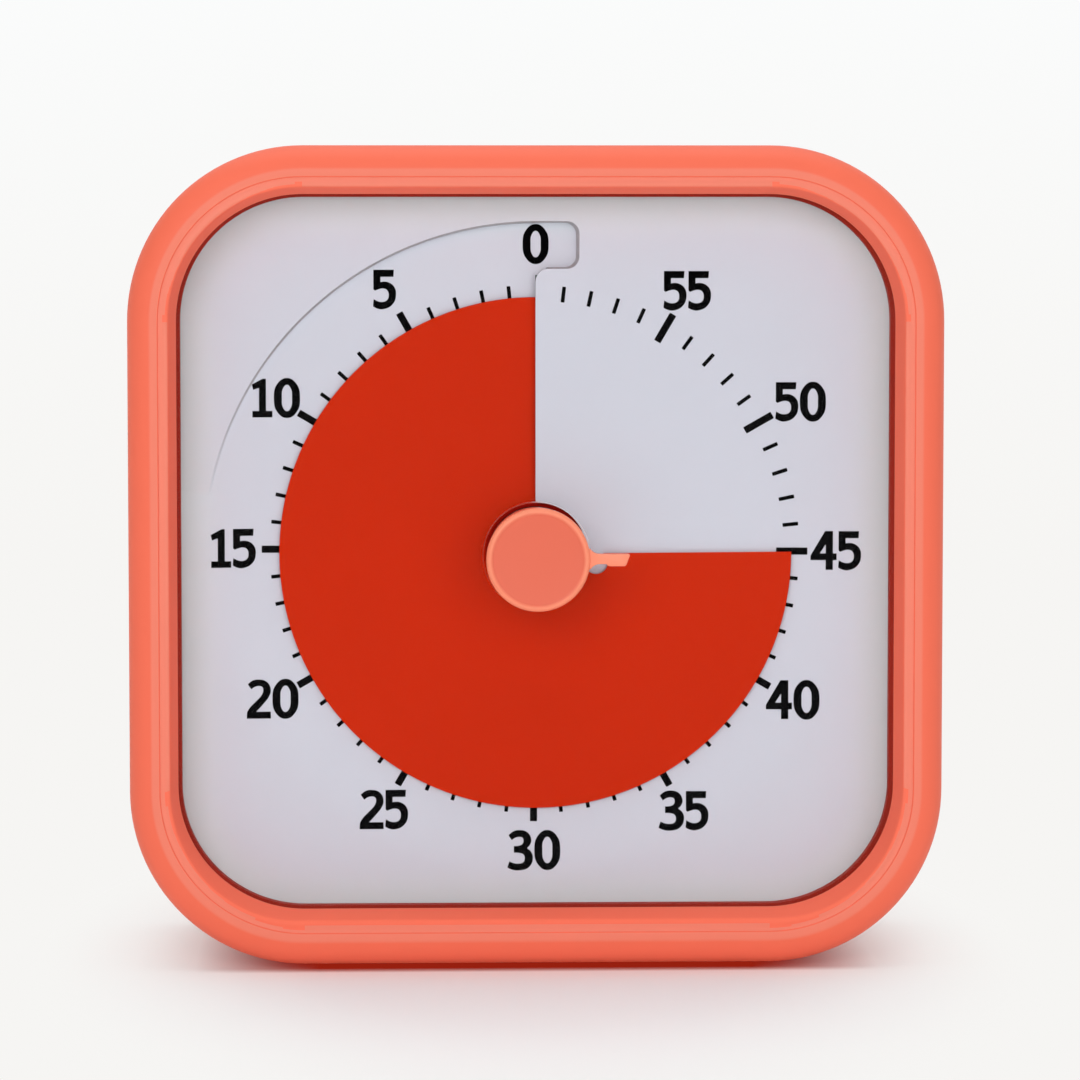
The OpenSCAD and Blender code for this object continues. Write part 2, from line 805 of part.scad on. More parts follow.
module coil_leads() {
    color(copper) for (side = [-1, 1])
        translate([coil_xy[0] + side * (coil_l / 2 - 4.6), coil_xy[1], 0])
            tube([
                [0, 2, inner_back + 0.35], [0, 2.7, inner_back + 0.1], [0, 3.4, inner_back - 0.9],
                [0, 4.6, movement_back - 0.9], [0, 8, movement_back - 1.1],
                [0, 15, board_h + board_t + 0.9], [0, 20, board_h + board_t + 0.4],
                [0, 22, board_h + board_t + 0.3]
            ], 0.25, 6);
}

module switch_body() {
    color(steel) translate(switch_xy) difference() {
        slab(board_h - 3.4, board_h) box2d([-4.4, 4.4], [-1.9, 1.9]);
        slab(board_h - 4, board_h - 0.8) box2d([-1, 1] * (switch_travel / 2 + 0.95), [-0.9, 0.9]);
    }
}

// At rest the alert is off, with the slider at the left end of its travel
module switch_knob() {
    rest_x = -switch_travel / 2;
    low = back_panel + 0.3;
    color(dark) translate([switch_xy[0] + rest_x, switch_xy[1], 0]) {
        slab(low, board_h - 3.7) round2d([-2.3, 2.3], [-1.4, 1.4], 0.4);
        slab(board_h - 3.71, board_h - 1.1) box2d([-0.75, 0.75], [-0.7, 0.7]);
        for (k = [-1 : 1]) slab(low - 0.3, low + eps) translate([1.1 * k, 0]) box2d([-0.25, 0.25], [-1.1, 1.1]);
    }
}

module buzzer() {
    color(brass) translate(buzzer_xy) slab(back_floor + 1.2, back_floor + 1.7) circle(buzzer_r);
}

module buzzer_ring() {
    color(dark) translate(buzzer_xy) difference() {
        rod(buzzer_r + 1.2, back_floor + gap, back_floor + 2.9);
        rod(buzzer_r - 1, back_floor, back_floor + 3);
        rod(buzzer_r + gap, back_floor + 1.15, back_floor + 3);
    }
}

// ---- Power ----

function contact_tab_h() = -6;

module along_cell() translate([cell_x, cell_y, cell_h]) rotate([0, 90, 0]) children();

module battery_cell() {
    nub_l = 1.2;
    nub_r = 2.6;
    can_l = cell_l - nub_l;
    color(dark) along_cell() {
        translate([0, 0, -cell_l / 2]) cylinder(r = cell_r, h = can_l);
        translate([0, 0, cell_l / 2 - nub_l - eps]) cylinder(r = nub_r, h = nub_l + eps);
    }
}

module contact_spring() {
    wire = 0.35;
    turns = 2.5;
    steps = 16;
    start = -bay_x + 0.4 + wire;
    end = cell_x - cell_l / 2 - wire - 0.1;
    color(steel) {
        tube([
            for (i = [0 : turns * steps])
                let (t = i / (turns * steps), a = 360 * i / steps, r = 5.2 - 2.3 * t)
                [start + (end - start) * t, cell_y + r * cos(a), cell_h + r * sin(a)]
        ], wire, 6);
        translate([-bay_x + gap, cell_y - 5, cell_h - 5]) cube([0.45, 10, 10]);
        translate([-bay_x - bay_wall - 0.9, cell_y - 1, contact_tab_h() - 0.2]) cube([bay_wall + 1.2, 2, 0.4]);
    }
}

module contact_plate() {
    color(steel) {
        translate([bay_x - 0.45, cell_y - 5, cell_h - 5]) cube([0.4, 10, 10]);
        translate([cell_x + cell_l / 2 + 0.05, cell_y, cell_h]) rotate([0, 90, 0])
            cylinder(r = 2, h = bay_x - 0.4 - cell_x - cell_l / 2);
        translate([bay_x - 0.3, cell_y - 1, contact_tab_h() - 0.2]) cube([bay_wall + 1.2, 2, 0.4]);
    }
}

module lead_red() color([0.75, 0.1, 0.08]) tube(wire_route, wire_r);

module lead_black() color(dark) tube([for (p = wire_route) [-p[0], p[1], p[2]]], wire_r);

// ---- Screws ----

// A pan-head screw that points towards the viewer, with its head at the back
module screw(head, tip, r, cross = true) {
    difference() {
        rod(r * 2.15, head, head + head_t);
        if (cross) for (turn = [0, 90]) rotate(turn) slab(head - 1, head + 0.8) square([r * 2.4, 0.6], center = true);
    }
    rod(r, head + head_t - eps, tip);
}

module case_screws() {
    color(steel) four_ways(screw_xy[0], screw_xy[1]) screw(back_panel + head_sink, 2, shank_r);
}

module movement_screws() {
    color(steel) four_ways(ear_x, ear_y) mirror([0, 0, 1])
        screw(-(movement_back + 1.65 + head_t), -(movement_back - 6), 0.95);
}

module board_screws() {
    color(steel) for (p = board_screw_xy()) translate(p) mirror([0, 0, 1])
        screw(-(board_h + board_t + gap + head_t), -(board_h - 4), 0.95);
}

stand_up() sleeve();
stand_up() front_bezel();
stand_up() rear_case();
stand_up() battery_door();
stand_up() lens();
stand_up() dial_plate();
stand_up() time_disc();
stand_up() disc_hub();
stand_up() knob_cap();
stand_up() arbor();
stand_up() clutch_spring();
stand_up() zero_cam();
stand_up() centre_wheel();
stand_up() third_wheel();
stand_up() fourth_wheel();
stand_up() fifth_wheel();
stand_up() rotor_pinion();
stand_up() rotor_magnet();
stand_up() movement_base();
stand_up() movement_cover();
stand_up() arbor_bush();
stand_up() stator();
stand_up() coil_bobbin();
stand_up() coil_winding();
stand_up() alarm_leaf();
stand_up() main_board();
stand_up() timer_chip();
stand_up() crystal_can();
stand_up() coil_leads();
stand_up() switch_body();
stand_up() switch_knob();
stand_up() buzzer();
stand_up() buzzer_ring();
stand_up() battery_cell();
stand_up() contact_spring();
stand_up() contact_plate();
stand_up() lead_red();
stand_up() lead_black();
stand_up() case_screws();
stand_up() movement_screws();
stand_up() board_screws();
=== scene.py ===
"""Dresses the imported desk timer: its sleeve, window, dial, winding disc and knob, and the works behind."""

import logging
import math
from collections.abc import Callable, Sequence
from dataclasses import dataclass, field
from enum import Enum

import bmesh
import bpy
from mathutils import Matrix, Vector


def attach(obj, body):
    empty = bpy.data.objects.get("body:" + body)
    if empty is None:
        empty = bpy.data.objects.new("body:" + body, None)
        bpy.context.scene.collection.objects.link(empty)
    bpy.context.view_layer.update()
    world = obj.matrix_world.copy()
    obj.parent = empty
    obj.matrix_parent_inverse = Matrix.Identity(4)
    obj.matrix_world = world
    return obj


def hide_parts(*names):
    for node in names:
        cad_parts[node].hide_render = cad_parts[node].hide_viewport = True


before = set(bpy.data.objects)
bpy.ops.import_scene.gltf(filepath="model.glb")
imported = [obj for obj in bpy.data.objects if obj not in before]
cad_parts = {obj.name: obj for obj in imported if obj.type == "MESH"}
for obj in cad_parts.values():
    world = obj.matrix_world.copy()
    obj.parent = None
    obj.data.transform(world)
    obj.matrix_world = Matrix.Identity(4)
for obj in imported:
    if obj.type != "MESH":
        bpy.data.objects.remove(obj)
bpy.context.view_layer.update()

log = logging.getLogger("timer")

MM = 0.001
TOUCH = 1e-6
AXIS_HEIGHT = 45.25
FRONT = Vector((0, -1, 0))

Place = tuple[float, float]
Colour = tuple[float, float, float]
Piece = bpy.types.Object
Paint = bpy.types.Material
Socket = bpy.types.NodeSocket


def spot(x: float, y: float, height: float) -> Vector:
    """Turns a place seen from the front into the frame's metres.

    Args:
        x: Millimetres to the right of the dial's axis.
        y: Millimetres above the dial's axis.
        height: Millimetres towards the viewer.

    Returns:
        The point in metres.
    """
    return Vector((x, -height, AXIS_HEIGHT + y)) * MM


def arc(centre: Place, radius: float, start: float, end: float, steps: int) -> list[Place]:
    """Lists points along an arc.

    Args:
        centre: The arc's centre.
        radius: Its radius.
        start: Angle of the first point, in degrees.
        end: Angle of the last point, in degrees.
        steps: Number of equal steps between them.

    Returns:
        The points, both ends included.
    """
    turns = [math.radians(start + (end - start) * i / steps) for i in range(steps + 1)]
    return [(centre[0] + radius * math.cos(t), centre[1] + radius * math.sin(t)) for t in turns]


def smooth(share: float) -> float:
    """Eases a share from 0 to 1."""
    t = max(0.0, min(1.0, share))
    return t * t * (3 - 2 * t)


# ---- The bench: what every piece is shaped with ----


class Pick(Enum):
    """What an edit-mode selection holds."""

    VERT = "VERT"
    EDGE = "EDGE"
    FACE = "FACE"


def take(piece: Piece) -> None:
    """Leaves edit mode and makes a piece the only one selected.

    Args:
        piece: The piece.
    """
    clear_bench()
    piece.select_set(True)
    bpy.context.view_layer.objects.active = piece


def clear_bench() -> None:
    """Leaves edit mode and deselects everything."""
    if bpy.context.mode != "OBJECT":
        bpy.ops.object.mode_set(mode="OBJECT")
    bpy.ops.object.select_all(action="DESELECT")


def open_mesh(piece: Piece) -> None:
    """Takes a piece into edit mode with all of it selected.

    Args:
        piece: The piece.
    """
    take(piece)
    bpy.ops.object.mode_set(mode="EDIT")
    bpy.ops.mesh.select_mode(type="VERT")
    bpy.ops.mesh.select_all(action="SELECT")


def close_mesh() -> None:
    """Leaves edit mode."""
    bpy.ops.object.mode_set(mode="OBJECT")


def settle(piece: Piece) -> None:
    """Puts a piece's place, turn and size into its mesh."""
    take(piece)
    bpy.ops.object.transform_apply(location=True, rotation=True, scale=True)


def select(piece: Piece, pick: Pick, test: Callable[..., bool]) -> None:
    """Selects the parts of a mesh in edit mode that pass a test.

    Args:
        piece: The piece that is open in edit mode.
        pick: Whether vertices, edges or faces are picked.
        test: Says of each one whether it is picked.
    """
    bpy.ops.mesh.select_mode(type=pick.value)
    bpy.ops.mesh.select_all(action="DESELECT")
    mesh = bmesh.from_edit_mesh(piece.data)
    pool = {Pick.VERT: mesh.verts, Pick.EDGE: mesh.edges, Pick.FACE: mesh.faces}[pick]
    for item in [item for item in pool if test(item)]:
        item.select_set(True)
    mesh.select_flush_mode()
    bmesh.update_edit_mesh(piece.data)


def extrude(move: Vector) -> None:
    """Extrudes what is selected in edit mode by a move in metres."""
    bpy.ops.mesh.extrude_region_move(TRANSFORM_OT_translate={"value": move})


def bevel_edges(piece: Piece, test: Callable[..., bool], size: float, segments: int) -> None:
    """Bevels the edges that pass a test, on a piece that is open in edit mode.

    Args:
        piece: The piece.
        test: Says of each edge whether it is bevelled.
        size: The bevel's offset, in metres.
        segments: Number of its steps.
    """
    select(piece, Pick.EDGE, test)
    bpy.ops.mesh.bevel(offset=size, offset_type="OFFSET", segments=segments, affect="EDGES")


def slice_open(normal: Vector, levels: Sequence[float]) -> None:
    """Divides the open mesh by parallel planes.

    Args:
        normal: The planes' unit normal.
        levels: Their distances along it, in the mesh's own units.
    """
    for level in levels:
        bpy.ops.mesh.select_all(action="SELECT")
        bpy.ops.mesh.bisect(plane_co=normal * level, plane_no=normal)


def apply_modifier(piece: Piece, kind: str, **settings: object) -> None:
    """Adds a modifier and applies it.

    Args:
        piece: The piece that it shapes.
        kind: The modifier's type.
        **settings: Values of its properties.
    """
    take(piece)
    modifier = piece.modifiers.new(kind.lower(), kind)
    for key, value in settings.items():
        setattr(modifier, key, value)
    bpy.ops.object.modifier_apply(modifier=modifier.name)


def wind(piece: Piece, degrees: float, rise: float, steps: int) -> None:
    """Winds a drawn line round the Y axis, as a screw does.

    Args:
        piece: The line, in object mode.
        degrees: How far it turns.
        rise: How far it moves along the axis on the way, in millimetres.
        steps: Number of equal steps.
    """
    way = {"axis": "Y", "angle": math.radians(degrees), "screw_offset": rise * MM}
    apply_modifier(piece, "SCREW", **way, steps=steps, render_steps=steps, use_merge_vertices=False)


def join_solid(piece: Piece, tool: Piece, operation: str) -> None:
    """Unites a piece with a tool, or cuts it by the tool, and removes the tool.

    Args:
        piece: The piece that stays.
        tool: The closed mesh that is added or cut away.
        operation: UNION or DIFFERENCE.
    """
    apply_modifier(piece, "BOOLEAN", operation=operation, object=tool, solver="EXACT")
    bpy.data.objects.remove(tool)


def face_out(piece: Piece) -> None:
    """Merges doubles and turns a closed mesh's faces outwards.

    Args:
        piece: The piece, in object mode before and after.
    """
    open_mesh(piece)
    bpy.ops.mesh.remove_doubles(threshold=TOUCH)
    bpy.ops.mesh.normals_make_consistent(inside=False)
    close_mesh()


def soften(piece: Piece, degrees: float = 32) -> None:
    """Shades a piece smooth up to an angle."""
    take(piece)
    bpy.ops.object.shade_smooth_by_angle(angle=math.radians(degrees))


def draw_line(name: str, points: Sequence[Vector]) -> Piece:
    """Draws a line by extruding one vertex from point to point.

    Args:
        name: The new piece's name.
        points: The line's points, in metres; a closed line ends where it starts.

    Returns:
        The line, open in edit mode.
    """
    clear_bench()
    bpy.ops.mesh.primitive_plane_add(size=MM, location=points[0])
    piece = bpy.context.object
    piece.name = name
    settle(piece)
    open_mesh(piece)
    bpy.ops.mesh.merge(type="CENTER")
    for near, far in zip(points, points[1:]):
        extrude(far - near)
    bpy.ops.mesh.select_all(action="SELECT")
    bpy.ops.mesh.remove_doubles(threshold=TOUCH)
    return piece


def plate(name: str, outline: Sequence[Place], low: float, high: float) -> Piece:
    """Draws an outline seen from the front and extrudes it to a plate.

    Args:
        name: The new piece's name.
        outline: Its corners as (x, y) in millimetres.
        low: Height of its back face.
        high: Height of its front face.

    Returns:
        The closed plate, in object mode.
    """
    piece = draw_line(name, [spot(x, y, low) for x, y in [*outline, outline[0]]])
    bpy.ops.mesh.edge_face_add()
    extrude(FRONT * (high - low) * MM)
    close_mesh()
    face_out(piece)
    return piece


def rod(name: str, centre: Place, radius: float, low: float, high: float, sides: int = 48) -> Piece:
    """Adds a round bar that points towards the viewer.

    Args:
        name: The new piece's name.
        centre: Its axis as (x, y) in millimetres.
        radius: Its radius in millimetres.
        low: Height of its back end.
        high: Height of its front end.
        sides: Number of its sides.

    Returns:
        The bar, in object mode.
    """
    clear_bench()
    bpy.ops.mesh.primitive_cylinder_add(
        vertices=sides,
        radius=radius * MM,
        depth=(high - low) * MM,
        location=spot(centre[0], centre[1], (low + high) / 2),
        rotation=(math.radians(90), 0, 0),
    )
    piece = bpy.context.object
    piece.name = name
    settle(piece)
    return piece


def finish_piece(piece: Piece, body: str, slot: str | None, material: Paint, *nodes: str) -> Piece:
    """Gives a new piece its finish, its body and the nodes that it stands for.

    Args:
        piece: The finished piece.
        body: The body that it rides on.
        slot: The record's material slot, if it has one; not used.
        material: Its finish.
        *nodes: The nodes that it replaces.

    Returns:
        The same piece.
    """
    clear_bench()
    piece.data.materials.clear()
    piece.data.materials.append(material)
    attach(piece, body)
    if nodes:
        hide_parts(*nodes)
    log.info("%s: %d faces on %s", piece.name, len(piece.data.polygons), body)
    return piece


# ---- Finishes ----


def linear(colour: Colour) -> tuple[float, float, float, float]:
    """Turns a screen colour of 0 to 255 into a linear one."""
    parts = [c / 255 for c in colour]
    return (*(p / 12.92 if p <= 0.04045 else ((p + 0.055) / 1.055) ** 2.4 for p in parts), 1.0)


DRIFT_SCALE, WEAR_SCALE, SATIN_SCALE = 45.0, 700.0, 160.0
DUST_GREY = (214, 208, 202)
STEEL_ENDS = (190, 190, 192)


class Effect(Enum):
    """The shared effects, each of them one node group."""

    DRIFT = "colour_drift"
    GRAIN = "moulded_grain"
    SATIN = "satin_drift"
    WEAR = "edge_wear"
    DUST = "settled_dust"
    TURNED = "turned_lines"


class Tree:
    """A node tree, with short ways to add and join its nodes."""

    def __init__(self, tree: bpy.types.NodeTree) -> None:
        """Keeps the tree."""
        self.tree = tree

    def add(self, kind: str, inputs: dict | None = None, **settings: object) -> bpy.types.Node:
        """Adds a node.

        Args:
            kind: The node's type, without its ShaderNode prefix.
            inputs: What each input holds or is joined to, by name or number.
            **settings: Values of the node's properties.

        Returns:
            The node.
        """
        node = self.tree.nodes.new("ShaderNode" + kind if not kind.startswith("Node") else kind)
        for key, value in settings.items():
            setattr(node, key, value)
        self.fill(node, inputs or {})
        return node

    def fill(self, node: bpy.types.Node, inputs: dict) -> None:
        """Gives a node's inputs their values, or joins them to other nodes' outputs.

        Args:
            node: The node.
            inputs: The values and outputs, by the input's name or number.
        """
        for key, value in inputs.items():
            if isinstance(value, Socket):
                self.join(value, node.inputs[key])
            else:
                node.inputs[key].default_value = value

    def join(self, out: Socket, into: Socket) -> None:
        """Joins an output to an input."""
        self.tree.links.new(out, into)

    def maths(self, operation: str, *values: object) -> Socket:
        """Adds a Math node and gives its result."""
        return self.add("Math", dict(enumerate(values)), operation=operation).outputs[0]

    def vector(self, operation: str, *values: object) -> Socket:
        """Adds a Vector Math node and gives its result, a number for a length."""
        node = self.add("VectorMath", dict(enumerate(values)), operation=operation)
        return node.outputs["Value" if operation == "LENGTH" else "Vector"]

    def noise(self, place: Socket, **inputs: object) -> Socket:
        """Adds a noise at a place and gives its level."""
        return self.add("TexNoise", {"Vector": place, **inputs}).outputs[0]

    def ramp(self, value: Socket, *ends: object, **settings: object) -> Socket:
        """Adds a Map Range node and gives its result.

        Args:
            value: The number that is mapped.
            *ends: Where it comes from, low and high, and where it goes to if that isn't 0 and 1.
            **settings: Values of the node's properties.

        Returns:
            The mapped number.
        """
        return self.add("MapRange", {"Value": value, **dict(enumerate(ends, 1))}, **settings).outputs[0]

    def blend(self, share: Socket, first: object, second: object) -> Socket:
        """Adds a colour Mix node and gives its result."""
        return self.add("Mix", {"Factor": share, 6: first, 7: second}, data_type="RGBA").outputs[2]

    def axes(self, vector: Socket) -> Sequence[Socket]:
        """Splits a vector into its three numbers."""
        return self.add("SeparateXYZ", {0: vector}).outputs

    def place(self) -> Socket:
        """Gives the shaded point in metres."""
        return self.add("TexCoord").outputs["Object"]

    def off_axis(self) -> Socket:
        """Gives the shaded point's distance from the dial's axis, in metres."""
        offset = self.vector("SUBTRACT", self.place(), (0.0, 0.0, AXIS_HEIGHT * MM))
        return self.vector("LENGTH", self.vector("MULTIPLY", offset, (1.0, 0.0, 1.0)))

    def effect(self, effect: Effect, **inputs: object) -> Socket:
        """Adds a shared effect and gives its first output."""
        return self.add("Group", inputs, node_tree=bpy.data.node_groups[effect.value]).outputs[0]

    def end(self, surface: bpy.types.Node) -> None:
        """Joins the last shader to the material's output."""
        self.join(surface.outputs[0], self.tree.nodes["Material Output"].inputs["Surface"])


def new_material(name: str) -> tuple[Paint, Tree, bpy.types.Node]:
    """Starts a material.

    Args:
        name: Its name.

    Returns:
        The material, its tree and its shader.
    """
    material = bpy.data.materials.new(name)
    material.use_nodes = True
    t = Tree(material.node_tree)
    return material, t, t.tree.nodes["Principled BSDF"]


def new_group(effect: Effect, ins: dict[str, str], outs: dict[str, str]) -> tuple[Tree, dict, bpy.types.Node]:
    """Starts an effect's node group.

    Args:
        effect: The effect that names it.
        ins: Its inputs' names and socket types.
        outs: Its outputs' names and socket types.

    Returns:
        The tree, its inputs by name, and its output node.
    """
    tree = bpy.data.node_groups.new(effect.value, "ShaderNodeTree")
    for way, sockets in (("INPUT", ins), ("OUTPUT", outs)):
        for name, kind in sockets.items():
            tree.interface.new_socket(name, in_out=way, socket_type="NodeSocket" + kind)
    short = Tree(tree)
    given = short.add("NodeGroupInput")
    return short, given.outputs, short.add("NodeGroupOutput")


def make_drift() -> None:
    """Makes the slow change of brightness over a moulded surface."""
    ins = {"Color": "Color", "Drift": "Float", "Scale": "Float"}
    t, given, out = new_group(Effect.DRIFT, ins, {"Color": "Color"})
    cloud = t.noise(t.place(), Scale=given["Scale"], Detail=3.0, Roughness=0.55)
    value = t.maths("MULTIPLY_ADD", t.maths("SUBTRACT", cloud, 0.5), given["Drift"], 1.0)
    t.join(t.add("HueSaturation", {"Value": value, "Color": given["Color"]}).outputs[0], out.inputs["Color"])


def make_grain() -> None:
    """Makes the fine grain of a mould: a spark-eroded pebble under a finer noise."""
    t, given, out = new_group(Effect.GRAIN, {"Scale": "Float", "Pebble": "Float"}, {"Height": "Float"})
    place = t.place()
    fine = t.noise(place, Scale=given["Scale"], Detail=4.0, Roughness=0.6)
    cells = t.add("TexVoronoi", {"Vector": place, "Scale": given["Scale"]}, feature="SMOOTH_F1")
    mixed = t.add("Mix", {"Factor": given["Pebble"], 2: fine, 3: cells.outputs[0]})
    t.join(mixed.outputs[0], out.inputs["Height"])


def make_satin() -> None:
    """Makes the patches of more and less gloss that handling leaves."""
    ins = {"Roughness": "Float", "Drift": "Float", "Scale": "Float"}
    t, given, out = new_group(Effect.SATIN, ins, {"Roughness": "Float"})
    cloud = t.noise(t.place(), Scale=given["Scale"], Detail=5.0, Distortion=0.6)
    offset = t.maths("SUBTRACT", cloud, 0.5)
    t.join(t.maths("MULTIPLY_ADD", offset, given["Drift"], given["Roughness"]), out.inputs["Roughness"])


def make_wear() -> None:
    """Makes the paler, rubbed line along sharp outer edges."""
    ins = {"Color": "Color", "Worn": "Color", "Amount": "Float", "Scale": "Float"}
    t, given, out = new_group(Effect.WEAR, ins, {"Color": "Color"})
    edge = t.ramp(t.add("NewGeometry").outputs["Pointiness"], 0.51, 0.6)
    breaks = t.ramp(t.noise(t.place(), Scale=given["Scale"], Detail=3.0), 0.35, 0.65)
    mask = t.maths("MULTIPLY", t.maths("MULTIPLY", edge, breaks), given["Amount"])
    t.join(t.blend(mask, given["Color"], given["Worn"]), out.inputs["Color"])


def make_dust() -> None:
    """Makes the dust that settles on what faces up."""
    t, given, out = new_group(Effect.DUST, {"Color": "Color", "Amount": "Float"}, {"Color": "Color"})
    lies = t.ramp(t.axes(t.add("NewGeometry").outputs["Normal"])[2], 0.6, 1.0)
    specks = t.noise(t.place(), Scale=900.0, Detail=6.0, Roughness=0.8)
    mask = t.maths("MULTIPLY", t.maths("MULTIPLY", lies, specks), given["Amount"])
    t.join(t.blend(mask, given["Color"], linear(DUST_GREY)), out.inputs["Color"])


def make_turned() -> None:
    """Makes the fine rings that a lathe leaves round an axis along Y."""
    t, given, out = new_group(Effect.TURNED, {"Scale": "Float", "Spread": "Float"}, {"Height": "Float"})
    stretch = t.vector("MULTIPLY", t.place(), (1.0, 0.06, 1.0))
    lines = t.noise(stretch, Scale=given["Scale"], Detail=given["Spread"], Roughness=0.7)
    t.join(lines, out.inputs["Height"])


@dataclass(frozen=True)
class Finish:
    """A moulded finish; colours are screen values and lengths are in millimetres."""

    name: str
    colour: Colour
    roughness: float = 0.5
    grain: float = 0.25
    depth: float = 0.004
    pebble: float = 0.4
    drift: float = 0.05
    patches: float = 0.12
    worn: Colour = (240, 240, 240)
    wear: float = 0.15
    dust: float = 0.04
    metallic: float = 0.0
    coat: float = 0.0
    specular: float = 0.5

    def base(self, t: Tree) -> Socket | tuple[float, float, float, float]:
        """Gives the colour before drift, wear and dust."""
        return linear(self.colour)

    def relief(self, t: Tree) -> Socket:
        """Gives the height that the bump reads."""
        return t.effect(Effect.GRAIN, Scale=1 / (self.grain * MM), Pebble=self.pebble)

    def make(self) -> Paint:
        """Builds the material.

        Returns:
            The material, with its colour, gloss and relief from nodes.
        """
        material, t, shader = new_material(self.name)
        drifted = t.effect(Effect.DRIFT, Color=self.base(t), Drift=self.drift, Scale=DRIFT_SCALE)
        rubbed = linear(self.worn)
        worn = t.effect(Effect.WEAR, Color=drifted, Worn=rubbed, Amount=self.wear, Scale=WEAR_SCALE)
        gloss = t.effect(Effect.SATIN, Roughness=self.roughness, Drift=self.patches, Scale=SATIN_SCALE)
        bump = t.add("Bump", {"Height": self.relief(t), "Strength": 1.0, "Distance": self.depth * MM})
        t.fill(
            shader,
            {
                "Base Color": t.effect(Effect.DUST, Color=worn, Amount=self.dust),
                "Roughness": gloss,
                "Normal": bump.outputs[0],
                "Metallic": self.metallic,
                "Coat Weight": self.coat,
                "Coat Roughness": 0.2,
                "Specular IOR Level": self.specular,
            },
        )
        return material


@dataclass(frozen=True)
class Metal(Finish):
    """Bare metal with the fine rings or lines of its making."""

    metallic: float = 1.0
    lines: float = 0.08
    wear: float = 0.0
    dust: float = 0.02

    def relief(self, t: Tree) -> Socket:
        """Gives the lathe's rings."""
        return t.effect(Effect.TURNED, Scale=1 / (self.lines * MM), Spread=3.0)


@dataclass(frozen=True)
class Wire(Finish):
    """Enamelled wire wound side by side round an axis along X."""

    pitch: float = 0.12
    metallic: float = 0.85

    def relief(self, t: Tree) -> Socket:
        """Gives the round tops of the windings."""
        turn = t.maths("MULTIPLY", t.axes(t.place())[0], math.tau / (self.pitch * MM))
        return t.maths("ABSOLUTE", t.maths("SINE", turn))


@dataclass(frozen=True)
class PaintedSheen(Finish):
    """A soft moulding with a painted sheen: its colour turns paler where the surface faces the front,
    standing in for the light that the front catches.
    """

    # painted sheen: its paler colour, and the range over which it is painted as the surface turns to the
    # front
    painted_sheen: Colour = (245, 131, 107)
    sheen_facing: tuple[float, float] = (0.972, 0.995)

    def base(self, t: Tree) -> Socket:
        """Gives the colour, with the painted sheen where the surface faces the front.

        Args:
            t: The material's tree.

        Returns:
            The colour.
        """
        way = t.maths("MULTIPLY", t.axes(t.add("NewGeometry").outputs["Normal"])[1], -1.0)
        # painted sheen mask: how squarely the surface faces the front
        front = t.ramp(way, *self.sheen_facing, interpolation_type="SMOOTHSTEP")
        return t.blend(front, linear(self.colour), linear(self.painted_sheen))


@dataclass(frozen=True)
class DialPaint(Finish):
    """The dial's satin paint, with painted light that makes it paler towards the window's edges against the
    shade of the bezel, and painted shade that makes it darker on the flap's walls.
    """

    # painted light near the window's edges and painted shade on the flap's walls, with the ranges over which
    # each comes in
    edge: Colour = (215, 224, 226)
    wall: Colour = (172, 171, 175)
    edge_light_at: tuple[float, float] = (8.2, 14.3)
    wall_shade: tuple[float, float] = (-0.85, -0.4)

    def base(self, t: Tree) -> Socket:
        """Gives the colour, with painted light by the distance from the rectangle of the corners' centres and
        painted shade by the slope.

        Args:
            t: The material's tree.

        Returns:
            The colour.
        """
        x, _, z = t.axes(t.place())
        sides = ((x, CORNER_X), (t.maths("SUBTRACT", z, AXIS_HEIGHT * MM), CORNER_Y))
        past = [t.maths("SUBTRACT", t.maths("ABSOLUTE", side), corner * MM) for side, corner in sides]
        ways = {i: t.maths("MAXIMUM", side, 0.0) for i, side in enumerate(past)}
        way = t.add("CombineXYZ", ways).outputs[0]
        low, high = (at * MM for at in self.edge_light_at)
        # painted light near the window's edges
        mask = t.ramp(t.vector("LENGTH", way), low, high, interpolation_type="SMOOTHSTEP")
        paint = t.blend(mask, linear(self.colour), linear(self.edge))
        # painted shade on the flap's walls
        wall_shade = t.ramp(t.axes(t.add("NewGeometry").outputs["Normal"])[1], *self.wall_shade)
        return t.blend(wall_shade, paint, linear(self.wall))


@dataclass(frozen=True)
class DiscFilm(Finish):
    """The red film of the disc, with a painted shade ring near its hub that stands in for the shadow in the
    gap round the knob.
    """

    # painted shade ring round the hub: its colour, and the radii over which it fades into the film
    hub_shade: Colour = (150, 14, 4)
    hub_shade_r: tuple[float, float] = (5.5, 5.85)

    def base(self, t: Tree) -> Socket:
        """Gives the film's colour by the distance from the hub, with the painted shade ring inside."""
        film = t.ramp(t.off_axis(), *(radius * MM for radius in self.hub_shade_r))
        return t.blend(film, linear(self.hub_shade), linear(self.colour))


@dataclass(frozen=True)
class PaintedRimHighlight(Finish):
    """A round face with a painted highlight, paler on its rim and on what reaches out from it near the front,
    with its axis along Y.
    """

    # painted highlight: its colour, and the radii and heights over which it is painted on the rim and the
    # pointer arm
    rim: Colour = (255, 147, 113)
    highlight_r: tuple[float, float] = (4.92, 5.3)
    highlight_at: tuple[float, float] = (18.0, 19.4)

    def base(self, t: Tree) -> Socket:
        """Gives the face's colour, and the painted highlight from the rim outwards.

        Args:
            t: The material's tree.

        Returns:
            The colour.
        """
        ring = t.ramp(t.off_axis(), *(radius * MM for radius in self.highlight_r))
        height = t.maths("MULTIPLY", t.axes(t.place())[1], -1.0)
        front = t.ramp(height, *(level * MM for level in self.highlight_at))
        # painted highlight on the rim and the pointer arm
        return t.blend(t.maths("MULTIPLY", ring, front), linear(self.colour), linear(self.rim))


